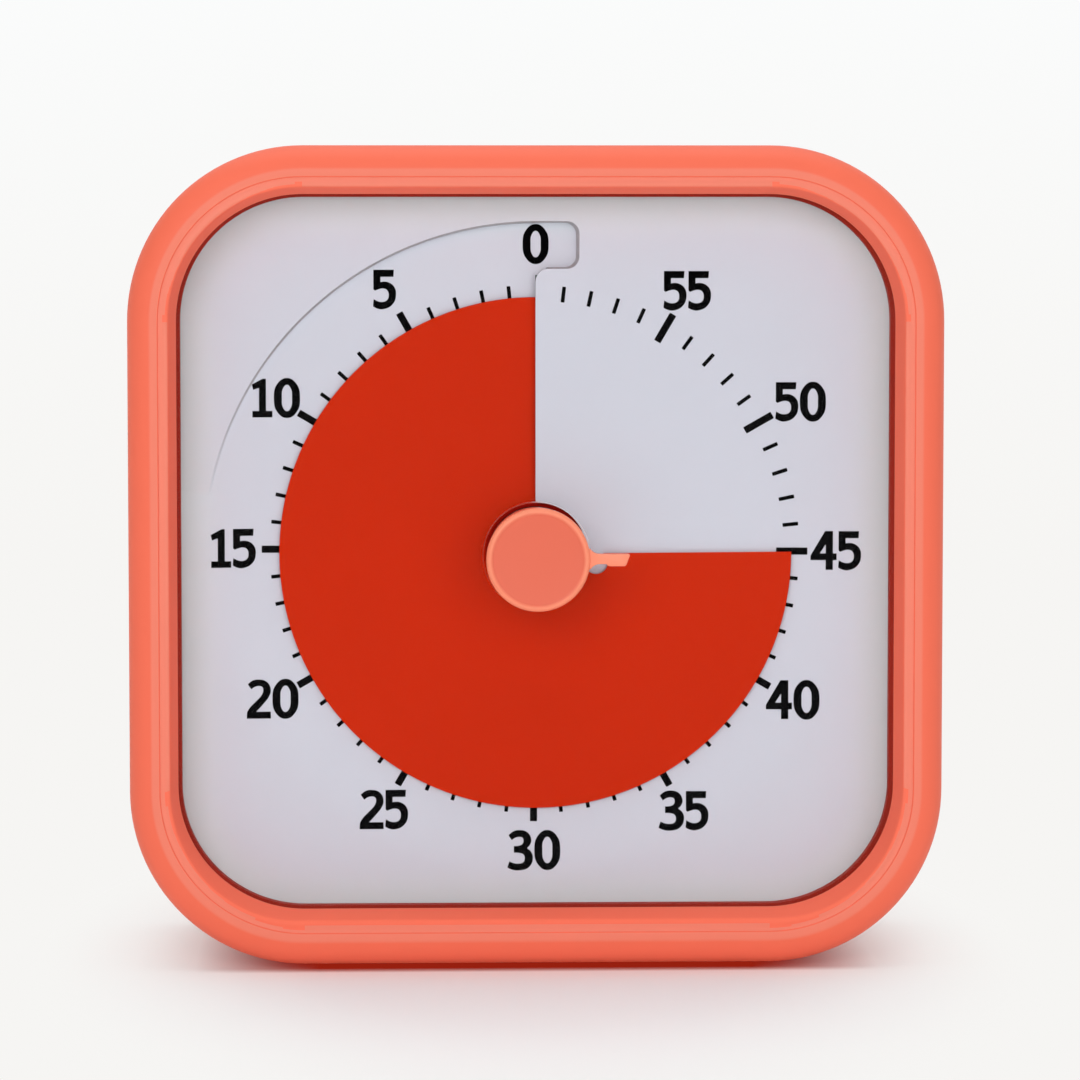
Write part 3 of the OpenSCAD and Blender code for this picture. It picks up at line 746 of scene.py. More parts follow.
@dataclass(frozen=True)
class CellSkin(Finish):
    """The printed film of a battery cell, with bare steel at both ends and a band near the positive one."""

    band: Colour = (196, 148, 78)
    end_x: tuple[float, float] = (-23.6, 22.6)
    band_x: float = 12.0
    bare: float = 4.0

    def base(self, t: Tree) -> Socket:
        """Gives the film, the band and the steel ends by the place along the cell.

        Args:
            t: The material's tree.

        Returns:
            The colour.
        """
        low, high = self.end_x[0] - self.bare, self.end_x[1] + self.bare
        bare, band_at = self.bare / (high - low), (self.band_x - low) / (high - low)
        ramp = t.add("ValToRGB", {0: t.ramp(t.axes(t.place())[0], low * MM, high * MM)})
        ramp.color_ramp.interpolation = "CONSTANT"
        steel = linear(STEEL_ENDS)
        stops = [(bare, linear(self.colour)), (band_at, linear(self.band)), (1 - bare, steel)]
        ramp.color_ramp.elements[0].color = steel
        ramp.color_ramp.elements.remove(ramp.color_ramp.elements[1])
        for at, colour in stops:
            ramp.color_ramp.elements.new(at).color = colour
        return ramp.outputs[0]


@dataclass(frozen=True)
class Clear:
    """Clear moulded acrylic that lets the lamps through."""

    name: str = "clear_acrylic"
    tint: Colour = (250, 252, 252)
    roughness: float = 0.03
    ior: float = 1.1
    haze: float = 0.04
    ripple: float = 0.004

    def make(self) -> Paint:
        """Builds the material.

        Returns:
            The material: glass to the eye, and open to lamps and bounced light.
        """
        material, t, shader = new_material(self.name)
        smear = t.noise(t.place(), Scale=60.0, Detail=6.0, Distortion=1.2)
        bump = t.add("Bump", {"Height": smear, "Strength": 0.3, "Distance": self.ripple * MM})
        t.fill(
            shader,
            {
                "Roughness": t.ramp(smear, 0.4, 0.8, self.roughness, self.roughness + self.haze),
                "Normal": bump.outputs[0],
                "Base Color": t.blend(smear, linear(self.tint), (1, 1, 1, 1)),
                "Transmission Weight": 1.0,
                "IOR": self.ior,
            },
        )
        path = t.add("LightPath").outputs
        opens = t.maths("MAXIMUM", path["Is Shadow Ray"], path["Is Diffuse Ray"])
        see_through = t.add("BsdfTransparent").outputs[0]
        t.end(t.add("MixShader", {0: opens, 1: shader.outputs[0], 2: see_through}))
        return material


@dataclass(frozen=True)
class Studio:
    """The floor and backdrop, the lamps, the room's light and the camera.

    Places on the floor and of the lamps are in metres, and the camera's in millimetres seen from the front.
    """

    floor: Colour = (250, 250, 250)
    # painted contact shadow: the dark coral that glows on the floor right under the timer, and its reach
    contact_shadow: Colour = (150, 32, 16)
    floor_z: float = -0.0005
    sheet: float = 5.0
    sheet_y: float = -1.3
    backdrop: float = 2.6
    curve: float = 0.7
    even_at: tuple[float, float] = (0.03, 0.073)
    squash: tuple[float, float, float] = (1.3, 0.65, 1.0)
    low_white: Colour = (246, 245, 243)
    high_white: Colour = (251, 252, 252)
    white_rise: float = 0.16
    contact_shadow_x: tuple[float, float] = (0.024, 0.038)
    contact_shadow_y: tuple[float, float] = (0.0148, 0.0178)
    world: float = 0.4
    behind: float = 0.15
    backdrop_level: float = 0.97
    eye: tuple[float, float, float] = (-17.0, 538.0, 40.0)
    aim: Place = (0.4, 1.71)
    widest: float = 13.0
    scale: float = 9.062
    frame_px: int = 1080
    sensor: float = 36.0

    def build(self) -> None:
        """Sets up everything that isn't the timer."""
        self.place_camera()
        self.build_floor()
        self.light_world()
        self.hang_lamps()
        bpy.context.scene.view_settings.view_transform = "Standard"

    def place_camera(self) -> None:
        """Stands the camera where the front is seen a little from the left and from above."""
        clear_bench()
        eye = spot(self.eye[0], self.eye[2], self.eye[1])
        look = spot(self.aim[0], self.aim[1], self.widest) - eye
        bpy.ops.object.camera_add(location=eye, rotation=look.to_track_quat("-Z", "Y").to_euler())
        camera = bpy.context.object
        camera.name = "front_camera"
        camera.data.sensor_width = self.sensor
        camera.data.sensor_fit = "HORIZONTAL"
        camera.data.lens = self.scale * self.sensor / self.frame_px * (self.eye[1] - self.widest)
        camera.data.clip_start, camera.data.clip_end = 0.01, 20
        bpy.context.scene.camera = camera

    def build_floor(self) -> None:
        """Models the floor and the backdrop as one sheet with a wide curve between them."""
        clear_bench()
        bpy.ops.mesh.primitive_plane_add(size=self.sheet, location=(0, self.sheet_y, self.floor_z))
        floor = bpy.context.object
        floor.name = "floor_sweep"
        settle(floor)
        open_mesh(floor)
        select(floor, Pick.EDGE, lambda e: min(v.co.y for v in e.verts) > 1.0)
        extrude(Vector((0, 0, self.backdrop)))
        bevel_edges(floor, lambda e: all(v.co.y > 1.0 and v.co.z < 0.1 for v in e.verts), self.curve, 20)
        close_mesh()
        soften(floor, 60)
        floor.data.materials.append(self.floor_paint())

    def floor_paint(self) -> Paint:
        """Builds the pale paint, which shines evenly away from the timer, with a painted contact shadow in
        dark coral that glows right under it.

        Returns:
            The material.
        """
        material, t, shader = new_material("pale_floor")
        place, pale = t.place(), linear(self.floor)[0]
        tone = t.ramp(t.noise(place, Scale=3.0, Detail=2.0), 0.0, 1.0, pale * 0.985, pale)
        t.fill(shader, {"Base Color": tone, "Roughness": 0.7, "Specular IOR Level": 0.2})
        away = t.vector("LENGTH", t.vector("MULTIPLY", place, self.squash))
        far = t.ramp(away, *self.even_at, interpolation_type="SMOOTHSTEP")
        path = t.add("LightPath").outputs
        seen = t.maths("MAXIMUM", path["Is Camera Ray"], path["Is Glossy Ray"])
        seen = t.maths("MAXIMUM", seen, path["Is Transmission Ray"])
        height = t.ramp(t.axes(place)[2], 0.0, self.white_rise)
        white = t.blend(height, linear(self.low_white), linear(self.high_white))
        even = t.add("Emission", {"Color": white, "Strength": 1.0}).outputs[0]
        share = t.maths("MULTIPLY", far, seen)
        mix = t.add("MixShader", {0: share, 1: shader.outputs[0], 2: even}).outputs[0]
        # painted contact shadow: a dark coral glow under the timer, seen by the camera and in reflections
        spots = t.axes(t.vector("ABSOLUTE", place))
        sides = t.ramp(spots[0], *self.contact_shadow_x, 1.0, 0.0)
        depth = t.ramp(spots[1], *self.contact_shadow_y, 1.0, 0.0)
        under = t.maths("MULTIPLY", t.maths("MULTIPLY", sides, depth), seen)
        painted_shadow = t.add("Emission", {"Color": linear(self.contact_shadow), "Strength": 1.0}).outputs[0]
        t.end(t.add("MixShader", {0: under, 1: mix, 2: painted_shadow}))
        return material

    def light_world(self) -> None:
        """Fills the room with soft light, dimmer behind the camera."""
        world = bpy.data.worlds.new("studio_room")
        bpy.context.scene.world = world
        world.use_nodes = True
        t = Tree(world.node_tree)
        way = t.axes(t.add("TexCoord").outputs["Generated"])[1]
        level = t.ramp(way, -0.95, -0.6, self.world * self.behind, self.world)
        seen = t.add("LightPath").outputs["Is Camera Ray"]
        strength = t.add("Mix", {"Factor": seen, "A": level, "B": self.backdrop_level}).outputs[0]
        t.fill(t.tree.nodes["Background"], {"Color": (0.98, 0.985, 1.0, 1), "Strength": strength})

    def hang_lamps(self) -> None:
        """Hangs the large soft lamps."""
        middle = spot(0, 0, 0)
        lamps = {
            "key_left": ((-0.42, -1.25, 0.52), 0.7, 5.9),
            "fill_right": ((0.5, -1.2, 0.34), 0.7, 3.5),
            "top_soft": ((0.0, 0.1, 1.3), 1.1, 7.6),
        }
        for name, (place, size, power) in lamps.items():
            clear_bench()
            turn = (middle - Vector(place)).to_track_quat("-Z", "Y").to_euler()
            bpy.ops.object.light_add(type="AREA", location=place, rotation=turn)
            lamp = bpy.context.object
            lamp.name = name
            lamp.data.shape = "SQUARE"
            lamp.data.size = size
            lamp.data.energy = power


# ---- The case ----

CORNER_X, CORNER_Y, CORNER_R = 25.7, 25.95, 19.3
CORNER_STEPS = 30


def outline_reach(way: Vector, out: float) -> float:
    """Measures from the axis to the case's rounded outline.

    Args:
        way: A unit direction seen from the front.
        out: How far the outline is moved out, in millimetres.

    Returns:
        The distance along the direction, in millimetres.
    """
    radius = CORNER_R + out
    reach = min((CORNER_X + radius) / max(abs(way.x), 1e-9), (CORNER_Y + radius) / max(abs(way.y), 1e-9))
    flat = way * reach
    if abs(flat.x) <= CORNER_X or abs(flat.y) <= CORNER_Y:
        return reach
    corner = Vector((math.copysign(CORNER_X, way.x), math.copysign(CORNER_Y, way.y)))
    along = corner.dot(way)
    return along + math.sqrt(radius**2 - corner.length_squared + along**2)


def band_place(point: Vector) -> tuple[float, float, float]:
    """Finds where a point lies on the case's band.

    Args:
        point: The point, in metres.

    Returns:
        How far it is above the dial's axis, its height and its distance out from the outline, in millimetres.
    """
    x, y = point.x / MM, point.z / MM - AXIS_HEIGHT
    return y, -point.y / MM, math.hypot(x, y) - outline_reach(Vector((x, y)).normalized(), 0.0)


def sweep_round(name: str, section: Sequence[Place]) -> Piece:
    """Sweeps a closed section round the four corners and sides of the case.

    Args:
        name: The new piece's name.
        section: Its points as (distance out from the outline, height), in millimetres.

    Returns:
        The closed ring, in object mode.
    """
    start = [spot(CORNER_X + CORNER_R + out, CORNER_Y, height) for out, height in [*section, section[0]]]
    ring = draw_line(name, start)
    corners = [(1, 1), (-1, 1), (-1, -1), (1, -1)]
    runs = [(-2 * CORNER_X, 0), (0, -2 * CORNER_Y), (2 * CORNER_X, 0), (0, 2 * CORNER_Y)]
    for (side, up), (dx, dy) in zip(corners, runs):
        bpy.ops.mesh.spin(
            steps=CORNER_STEPS,
            angle=math.radians(90),
            center=spot(side * CORNER_X, up * CORNER_Y, 0),
            axis=-FRONT,
        )
        extrude(Vector((dx, 0, dy)) * MM)
    close_mesh()
    face_out(ring)
    return ring


@dataclass
class Case:
    """The soft sleeve, the two halves of the hard case, the battery door and the screws."""

    front: float = 17.3
    back: float = -20.0
    shelf: float = 15.5
    rear_shelf: float = -18.2
    edge_r: float = 3.1
    wall: float = 1.8
    lip: float = -3.5
    rear_lip: float = -4.2
    band: float = 5.34
    split: float = -2.0
    sill: float = 0.35
    sill_wall: float = 0.36
    sill_foot: float = 0.12
    sill_low: float = 10.0
    sill_y: float = 38.0
    wall_low: float = 13.9
    wall_out: float = -4.8
    wall_start: float = 4.6
    wall_run: float = 0.7
    foot_at: float = 13.0
    ridge_out: float = -4.58
    seat_out: float = -4.7
    seat_low: float = 10.3
    # The sleeve and the case both carry a painted sheen: paler colour on what faces the front.
    silicone: Finish = PaintedSheen(
        "coral_silicone", (248, 114, 86), 0.5, 0.35, 0.0035, 0.2, 0.035, 0.1, (252, 156, 130), 0.1, 0.02,
        specular=0.2,
    )  # fmt: skip
    shell: Finish = PaintedSheen(
        "coral_case", (248, 116, 90), 0.4, 0.22, 0.003, 0.3, 0.03, 0.1, (252, 160, 138), 0.12, 0.02,
        specular=0.25, painted_sheen=(246, 134, 110), sheen_facing=(0.62, 0.9),
    )  # fmt: skip
    # Painted light: a copy of the case coral for the window wall and the inner side of the ridge, more
    # saturated and nearly without gloss, set for how light falls there; the real wall is the same plastic.
    inside: Finish = Finish(
        "coral_case_wall_lit_copy", (254, 121, 94), 0.5, 0.22, 0.003, 0.3, 0.03, 0.1, (252, 160, 138), 0.05, 0.01,
        specular=0.04,
    )  # fmt: skip
    # Painted shade: the dark coral seat under the lens edge stands in for the shadow in the gap at the foot
    # of the window wall.
    seat_shade: Finish = Finish(
        "lens_seat_painted_shade", (165, 48, 34), 0.6, 0.15, 0.004, 0.4, 0.08, 0.1, (170, 70, 56), 0.0, 0.0, specular=0.1
    )
    zinc: Finish = Metal("zinc_steel", (198, 198, 200), 0.32, lines=0.05)
    slider: Finish = Finish(
        "black_slider", (34, 34, 36), 0.45, 0.2, 0.004, 0.4, 0.08, 0.12, (90, 90, 92), 0.3
    )
    pieces: list[Piece] = field(default_factory=list)

    def sleeve_section(self) -> list[Place]:
        """Lists the section of the sleeve, which holds the case with a lip at the front and the back.

        Returns:
            Points as (distance out from the outline, height).
        """
        r, lip_r, inner = self.edge_r, 0.14, 1.2
        return [
            *arc((-r, self.front - r), r, 0, 86, 18),
            *arc((self.lip + lip_r, self.front - lip_r), lip_r, 88, 180, 9),
            (self.lip, self.shelf),
            *arc((-self.wall - inner, self.shelf - inner), inner, 90, 0, 6),
            *arc((-self.wall - inner, self.rear_shelf + inner), inner, 0, -90, 6),
            *arc((self.rear_lip + lip_r, self.rear_shelf - lip_r), lip_r, 90, 180, 5),
            *arc((self.rear_lip + lip_r, self.back + lip_r), lip_r, 180, 270, 5),
            *arc((-r, self.back + r), r, 270, 360, 16),
            (0, self.back + r + 0.35),
            (0, self.front - r - 0.35),
        ]

    def bezel_section(self) -> list[Place]:
        """Lists the section of the bezel: a shallow valley, a round ridge, the tapered wall and the seat.

        Returns:
            Points as (distance out from the outline, height).
        """
        land, edge, foot, seat = self.front - 0.16, self.lip + 0.02, -self.band, -self.band - 0.32
        return [
            (-1.85, self.split),
            *arc((-3.05, 14.25), 1.2, 0, 90, 6),
            (edge, 15.45),
            (edge, land),
            (edge - 0.14, land - 0.04),
            (edge - 0.32, land - 0.05),
            (edge - 0.5, land - 0.02),
            *arc((-4.3, self.front - 0.42), 0.34, 80, 162, 8),
            (foot + 0.07, 14.0),
            *arc((foot + 0.2, 13.7), 0.2, 165, 270, 5),
            (-5.0, 13.5),
            (-5.0, 13.2),
            (-4.65, 13.2),
            (-4.65, 11.67),
            (seat, 11.67),
            (seat, 10.23),
            (-3.85, 10.2),
            (-3.85, -0.4),
            (-2.8, -0.4),
            (-2.8, self.split),
        ]

    def raise_sill(self, ring: Piece) -> None:
        """Thickens the lower band: the window's sill is raised, and the outer face stays.

        Args:
            ring: The sleeve or the bezel.
        """
        for vert in ring.data.vertices:
            y, height, out = band_place(vert.co)
            if y > 0 or height < self.sill_low or (height < self.wall_low and out > self.wall_out):
                continue
            wall = self.sill_wall if height > self.foot_at else self.sill_foot
            wall_share = min(1, max(0, (-out - self.wall_start) / self.wall_run))
            share = self.sill * min(1, max(0, -out / self.edge_r)) + wall * wall_share
            vert.co.z += share * min(1, -y / self.sill_y) * MM

    def build(self) -> None:
        """Models the sleeve and the bezel, and dresses the rest of the case."""
        sleeve = sweep_round("soft_sleeve", self.sleeve_section())
        bezel = sweep_round("window_bezel", self.bezel_section())
        for ring in (sleeve, bezel):
            self.raise_sill(ring)
            soften(ring, 40)
        finish_piece(sleeve, "case", "sleeve_silicone", self.silicone.make(), "sleeve")
        shell = self.shell.make()
        finish_piece(bezel, "case", "case_abs", shell, "front_bezel")
        bezel.data.materials.append(self.inside.make())
        bezel.data.materials.append(self.seat_shade.make())
        for face in bezel.data.polygons:
            _, height, out = band_place(face.center)
            if height < self.foot_at:
                # the seat under the lens takes the painted shade of the gap at the wall's foot
                face.material_index = 2 * int(height > self.seat_low and out < self.seat_out)
            else:
                # the window wall and the inner side of the ridge take the lit copy of the case coral, painted
                # light
                face.material_index = int(out < self.ridge_out)
        dress(shell, "rear_case", "battery_door")
        dress(self.zinc.make(), "case_screws", "movement_screws", "board_screws", "switch_body")
        dress(self.slider.make(), "switch_knob")


def dress(material: Paint, *nodes: str) -> None:
    """Gives carried-over nodes their finish.

    Args:
        material: The finish.
        *nodes: The nodes' names.
    """
    for node in nodes:
        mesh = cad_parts[node].data
        if not mesh.materials:
            mesh.materials.append(material)
        for place in range(len(mesh.materials)):
            mesh.materials[place] = material
        log.info("%s: dressed in %s", node, material.name)


@dataclass
class Window:
    """The clear lens, with a hole that the knob stands in."""

    front: float = 13.2
    thick: float = 1.5
    out: float = -4.7
    hole_r: float = 5.85
    rim: float = 0.3
    clear: Clear = Clear()
    bore: Clear = Clear("milled_acrylic", (255, 246, 242), 0.7, 1.45)

    def build(self) -> None:
        """Models the lens from a block and cuts the hole with softened rims."""
        radius = CORNER_R + self.out
        clear_bench()
        bpy.ops.mesh.primitive_cube_add(size=1, location=spot(0, 0, self.front - self.thick / 2))
        lens = bpy.context.object
        lens.name = "clear_lens"
        lens.scale = Vector((2 * (CORNER_X + radius), self.thick, 2 * (CORNER_Y + radius))) * MM
        settle(lens)
        open_mesh(lens)
        bevel_edges(lens, lambda e: e.verts[0].co.xz == e.verts[1].co.xz, radius * MM, 24)
        close_mesh()
        drill = rod("lens_drill", (0, 0), self.hole_r, self.front - self.thick - 1, self.front + 1, 96)
        join_solid(lens, drill, "DIFFERENCE")
        open_mesh(lens)
        front, hole = -self.front * MM, self.hole_r * MM + 1e-5
        middle = spot(0, 0, self.front)
        bevel_edges(
            lens,
            lambda e: all(abs(v.co.y - front) < TOUCH and (v.co - middle).length < hole for v in e.verts),
            self.rim * MM,
            3,
        )
        close_mesh()
        soften(lens, 30)
        finish_piece(lens, "case", "lens_clear", self.clear.make(), "lens")
        lens.data.materials.append(self.bore.make())
        for face in lens.data.polygons:
            across = math.hypot(face.center.x, face.center.z - AXIS_HEIGHT * MM)
            flat = abs(face.normal.y)
            face.material_index = int(across < (self.hole_r + self.rim) * MM and flat < 0.95)
            face.use_smooth = flat < 0.999


# ---- The dial ----

Loop = tuple[tuple[float, float, bool], ...]


def loop(kinds: str, *points: Place) -> Loop:
    """Pairs an outline's points with their kinds.

    Args:
        kinds: A letter for each point, o where the outline curves and x at a corner.
        *points: The points as (x, y).

    Returns:
        The points as (x, y, whether the outline curves there).
    """
    return tuple((x, y, kind == "o") for (x, y), kind in zip(points, kinds, strict=True))


class Digit(Enum):
    """Outlines of the dial's digits, drawn 39 units high with y downwards, each after its width."""

    ZERO = (
        25.4,
        loop(
            "oooooooo",
            (12.7, 0), (21.9, 5.5), (25.4, 19.7), (21.9, 33.9), (12.7, 39.4), (3.5, 33.9), (0, 19.7),
            (3.5, 5.5),
        ),
        loop(
            "oooooooo",
            (12.7, 6.2), (16.8, 9.8), (18.05, 19.7), (16.8, 29.6), (12.7, 33.2), (8.6, 29.6),
            (7.35, 19.7), (8.6, 9.8),
        ),
    )  # fmt: skip
    ONE = (
        19.6,
        loop(
            "xxxxxxxxxxx",
            (13.3, 0.6), (13.3, 32.8), (19.6, 32.8), (19.6, 38.6), (0.4, 38.6), (0.4, 32.8), (7.0, 32.8),
            (7.0, 9.0), (1.2, 11.0), (0, 6.2), (10.4, 0.6),
        ),
    )  # fmt: skip
    TWO = (
        23.5,
        loop(
            "xooooooxxxxxooooooox",
            (1.2, 4.6), (5.6, 1.4), (11.2, 0.3), (19.8, 2.9), (23.4, 10.2), (21.6, 17.2), (16.4, 23.9),
            (8.4, 32.6), (23.3, 32.6), (23.5, 38.8), (0, 38.8), (0.3, 32.8), (2.6, 28.9), (9.2, 22.0),
            (14.6, 16.2), (16.6, 10.6), (15.3, 7.2), (11.2, 6.2), (7.6, 7.1), (4.4, 9.2),
        ),
    )  # fmt: skip
    THREE = (
        25.0,
        loop(
            "xoooooxoooooxxooooooxxoooooox",
            (1.3, 4.8), (5.8, 1.3), (11.6, 0), (20.0, 2.4), (23.5, 9.2), (22.4, 14.0), (19.0, 17.7),
            (23.5, 21.8), (25.0, 28.0), (21.4, 36.2), (11.6, 39.6), (5.0, 39.0), (0, 36.8), (1.9, 31.3),
            (6.2, 33.0), (10.6, 33.5), (15.9, 32.0), (17.5, 27.6), (15.8, 23.6), (11.6, 22.1),
            (6.6, 21.9), (6.6, 15.9), (11.6, 15.6), (15.2, 13.6), (16.3, 9.9), (15.0, 7.1), (11.4, 6.2),
            (7.6, 7.0), (4.2, 9.2),
        ),
    )  # fmt: skip
    FOUR = (
        25.5,
        loop(
            "xxxxxxxxxxx",
            (0, 29.0), (0, 24.9), (14.4, 0.4), (21.8, 0.4), (21.8, 22.9), (25.5, 22.9), (25.5, 29.0),
            (21.8, 29.0), (21.8, 38.8), (15.2, 38.8), (15.2, 29.0),
        ),
        loop(
            "xxx",
            (15.2, 12.4), (15.2, 22.9), (8.4, 22.9),
        ),
    )  # fmt: skip
    FIVE = (
        22.3,
        loop(
            "xxxxxoooooooxxoooooooxx",
            (0.4, 0.5), (20.2, 0.5), (19.8, 6.9), (6.8, 6.9), (6.8, 12.9), (10.8, 12.3), (15.6, 13.3),
            (20.6, 17.4), (22.3, 24.9), (19.2, 34.2), (9.8, 39.2), (4.4, 38.7), (0, 36.6), (0.6, 30.0),
            (5.0, 32.1), (9.6, 32.6), (14.2, 30.4), (15.7, 25.2), (14.1, 20.4), (9.9, 18.5), (5.6, 19.2),
            (1.8, 20.6), (0.4, 19.4),
        ),
    )  # fmt: skip

    @property
    def width(self) -> float:
        """The digit's width in its units."""
        return self.value[0]

    @property
    def loops(self) -> tuple[Loop, ...]:
        """The digit's outline and counter."""
        return self.value[1:]


DIGITS = dict(zip("012345", Digit))
PRINT_RIGHT, PRINT_UP = Vector((1, 0, 0)), Vector((0, 1, 0))


@dataclass
class Dial:
    """The grey dial: a ramp that falls one pitch in a turn, the sunken flap, its tab, and the print."""

    top: float = 10.2
    pitch: float = 1.2
    thick: float = 0.5
    rim_t: float = 1.5
    hole_r: float = 5.75
    flat_r: float = 29.2
    arc_r: float = 36.68
    brink: float = 0.24
    rim_out: float = -3.9
    steps: int = 288
    tab: tuple[float, float] = (4.88, 5.05)
    tab_wall: float = 0.7
    corner: float = 1.4
    draft: float = 0.93
    boss: Place = (33.6, 33.65)
    boss_r: float = 3.0
    pilot_r: float = 1.25
    unit: float = 1 / 9.0
    gap: float = 2.2
    bold: float = 0.33
    proud: float = 0.02
    ink_t: float = 0.06
    print_place: Place = (-0.06, 0.34)
    print_turn: float = -0.3
    # The dial's paint carries painted light near the window's edges and painted shade on the flap's walls.
    paint: Finish = DialPaint(
        "dial_paint", (210, 213, 224), 0.42, 0.16, 0.0012, 0.1, 0.02, 0.08, (225, 225, 230), 0.0, 0.0,
        specular=0.15,
    )  # fmt: skip
    ink: Finish = Finish(
        "black_ink", (7, 7, 8), 0.5, 0.08, 0.0015, 0.1, 0.15, 0.1, (30, 30, 32), 0.0, 0.0, specular=0.0
    )
    numerals: dict[str, Place] = field(
        default_factory=lambda: {
            "0": (0.04, 34.39), "5": (-16.74, 29.39), "10": (-28.8, 17.35), "15": (-33.6, 0.65),
            "20": (-29.3, -16.17), "25": (-16.95, -28.62), "30": (-0.2, -33.25), "35": (16.55, -28.86),
            "40": (28.75, -16.45), "45": (33.5, 0.27), "50": (29.5, 16.89), "55": (16.84, 29.24),
        }
    )  # fmt: skip

    def fall(self, radius: float, angle: float) -> float:
        """Gives the face's height below the rim, as a negative number.

        Args:
            radius: Distance from the axis.
            angle: Degrees from 12 o'clock, growing to the left.

        Returns:
            The fall in millimetres.
        """
        if radius > self.arc_r + self.brink / 2:
            return 0.0
        under, edge = 1 - angle / 360, max(0.0, 1 - angle / 90)
        ease = smooth((radius - self.flat_r) / (self.arc_r - self.flat_r))
        return -self.pitch * (under + (edge - under) * ease)

    def level(self, x: float, y: float) -> float:
        """Gives the face's height at a place, the tab's floor included.

        Args:
            x: Millimetres to the right of the axis.
            y: Millimetres above the axis.

        Returns:
            The height in millimetres.
        """
        radius = math.hypot(x, y)
        if 0 <= x <= self.tab[0] and self.arc_r - self.tab[1] < y < self.arc_r:
            return self.top - self.pitch + 0.01
        return self.top + self.fall(radius, math.degrees(math.atan2(-x, y)) % 360)

    def wind_plate(self) -> Piece:
        """Winds the plate's radial line once round the axis and shapes its flap and rim.

        Returns:
            The closed plate, thicker under its rim.
        """
        radii = [self.hole_r, 9, 13, 18, 23, 27, self.flat_r]
        radii += [self.flat_r + (self.arc_r - self.flat_r) * i / 12 for i in range(1, 13)]
        radii += [self.arc_r + self.brink, 42.0]
        sheet = draw_line("dial_face", [Vector((0, -(self.top - self.pitch), r)) * MM for r in radii])
        close_mesh()
        wind(sheet, -360, -self.pitch, self.steps)
        count = len(radii)
        for index, vert in enumerate(sheet.data.vertices):
            column = index // count
            angle = min(360.0, 360 * column / self.steps)
            radius = radii[index % count]
            way = Vector((-math.sin(math.radians(angle)), math.cos(math.radians(angle))))
            if radius > self.arc_r + 1:
                radius = outline_reach(way, self.rim_out)
            vert.co = spot(way.x * radius, way.y * radius, self.top + self.fall(radius, angle))
        open_mesh(sheet)
        bpy.ops.mesh.remove_doubles(threshold=2e-6)
        extrude(-FRONT * self.thick * MM)
        close_mesh()
        rim = self.arc_r + self.brink / 2
        for vert in sheet.data.vertices:
            radius = math.hypot(vert.co.x, vert.co.z - AXIS_HEIGHT * MM) / MM
            if radius > rim and -vert.co.y / MM < self.top - self.thick / 2:
                vert.co.y = -(self.top - self.rim_t) * MM
        face_out(sheet)
        return sheet

    def tab_outline(self, grow: float) -> list[Place]:
        """Lists the outline of the sunken tab, grown by a wall's thickness.

        Args:
            grow: How far the outline is moved out, in millimetres.

        Returns:
            Its points, counter-clockwise from the lower left.
        """
        right, low, corner = self.tab[0] + grow, self.arc_r - self.tab[1] - grow, self.corner + grow
        top = self.arc_r + self.brink + grow - corner
        lower_bend = arc((right - corner, low + corner), corner, -90, 0, 8)
        return [*lower_bend, *arc((right - corner, top), corner, 0, 90, 8)]

    def cut_tab(self, sheet: Piece) -> None:
        """Adds the tab's floor and walls under the plate, and cuts the plate above them.

        The tools lap over each other by hundredths, so that no two of their faces lie in one plane.

        Args:
            sheet: The closed plate.
        """
        wall, floor = self.tab_wall, self.top - self.pitch
        low = self.arc_r - self.tab[1]
        pan = plate(
            "tab_pan",
            [*self.tab_outline(wall), (-0.02, self.arc_r + self.brink + wall), (-0.02, low - wall)],
            floor - self.thick - 0.03,
            self.top - 0.06,
        )
        join_solid(sheet, pan, "UNION")
        bridge = plate(
            "tab_bridge",
            [(-0.6, low - wall), (0.3, low - wall), (0.3, self.arc_r), (-0.6, self.arc_r)],
            floor - self.thick - 0.015,
            floor - 0.03,
        )
        join_solid(sheet, bridge, "UNION")
        r = self.corner
        round_off = arc((r, low - r), r, 180, 90, 8)
        cutter = plate(
            "tab_cutter",
            [(-0.05, low - r), *round_off, *self.tab_outline(0), (-0.05, self.arc_r + self.brink)],
            floor + 0.01,
            self.top + 0.05,
        )
        foot = -(floor + 0.02) * MM
        base, crest = (AXIS_HEIGHT + low - 0.01) * MM, (AXIS_HEIGHT + self.arc_r) * MM
        open_mesh(cutter)
        select(
            cutter,
            Pick.VERT,
            lambda v: v.co.y > foot and (v.co.z > crest or (v.co.x > 0 and v.co.z > base)),
        )
        middle = spot(0, self.arc_r - self.tab[1] / 2, floor)
        bpy.ops.transform.resize(value=(self.draft, 1, self.draft), center_override=middle)
        close_mesh()
        join_solid(sheet, cutter, "DIFFERENCE")

    def add_bosses(self, sheet: Piece) -> None:
        """Adds the four bosses that the case's screws bite into.

        Args:
            sheet: The closed plate.
        """
        for side in (-1, 1):
            for up in (-1, 1):
                centre = (side * self.boss[0], up * self.boss[1])
                boss = rod("boss", centre, self.boss_r, -6.0, self.top - 0.25, 40)
                join_solid(boss, rod("pilot", centre, self.pilot_r, -7.0, self.top - 3, 24), "DIFFERENCE")
                join_solid(sheet, boss, "UNION")

    def lay_print(self, flat: bpy.types.Mesh, place: Matrix) -> Piece:
        """Lays a copy of flat print on the face, following its fall.

        Args:
            flat: The print, with x to the right and y up.
            place: Takes it to its place and to millimetres.

        Returns:
            The draped print.
        """
        ink = bpy.data.objects.new("ink", flat.copy())
        bpy.context.scene.collection.objects.link(ink)
        ink.data.transform(place)
        for vert in ink.data.vertices:
            x, y = vert.co.x, vert.co.y
            vert.co = spot(x, y, self.level(x, y) + self.proud)
        apply_modifier(ink, "SOLIDIFY", thickness=self.ink_t * MM, offset=-1, use_even_offset=False)
        return ink

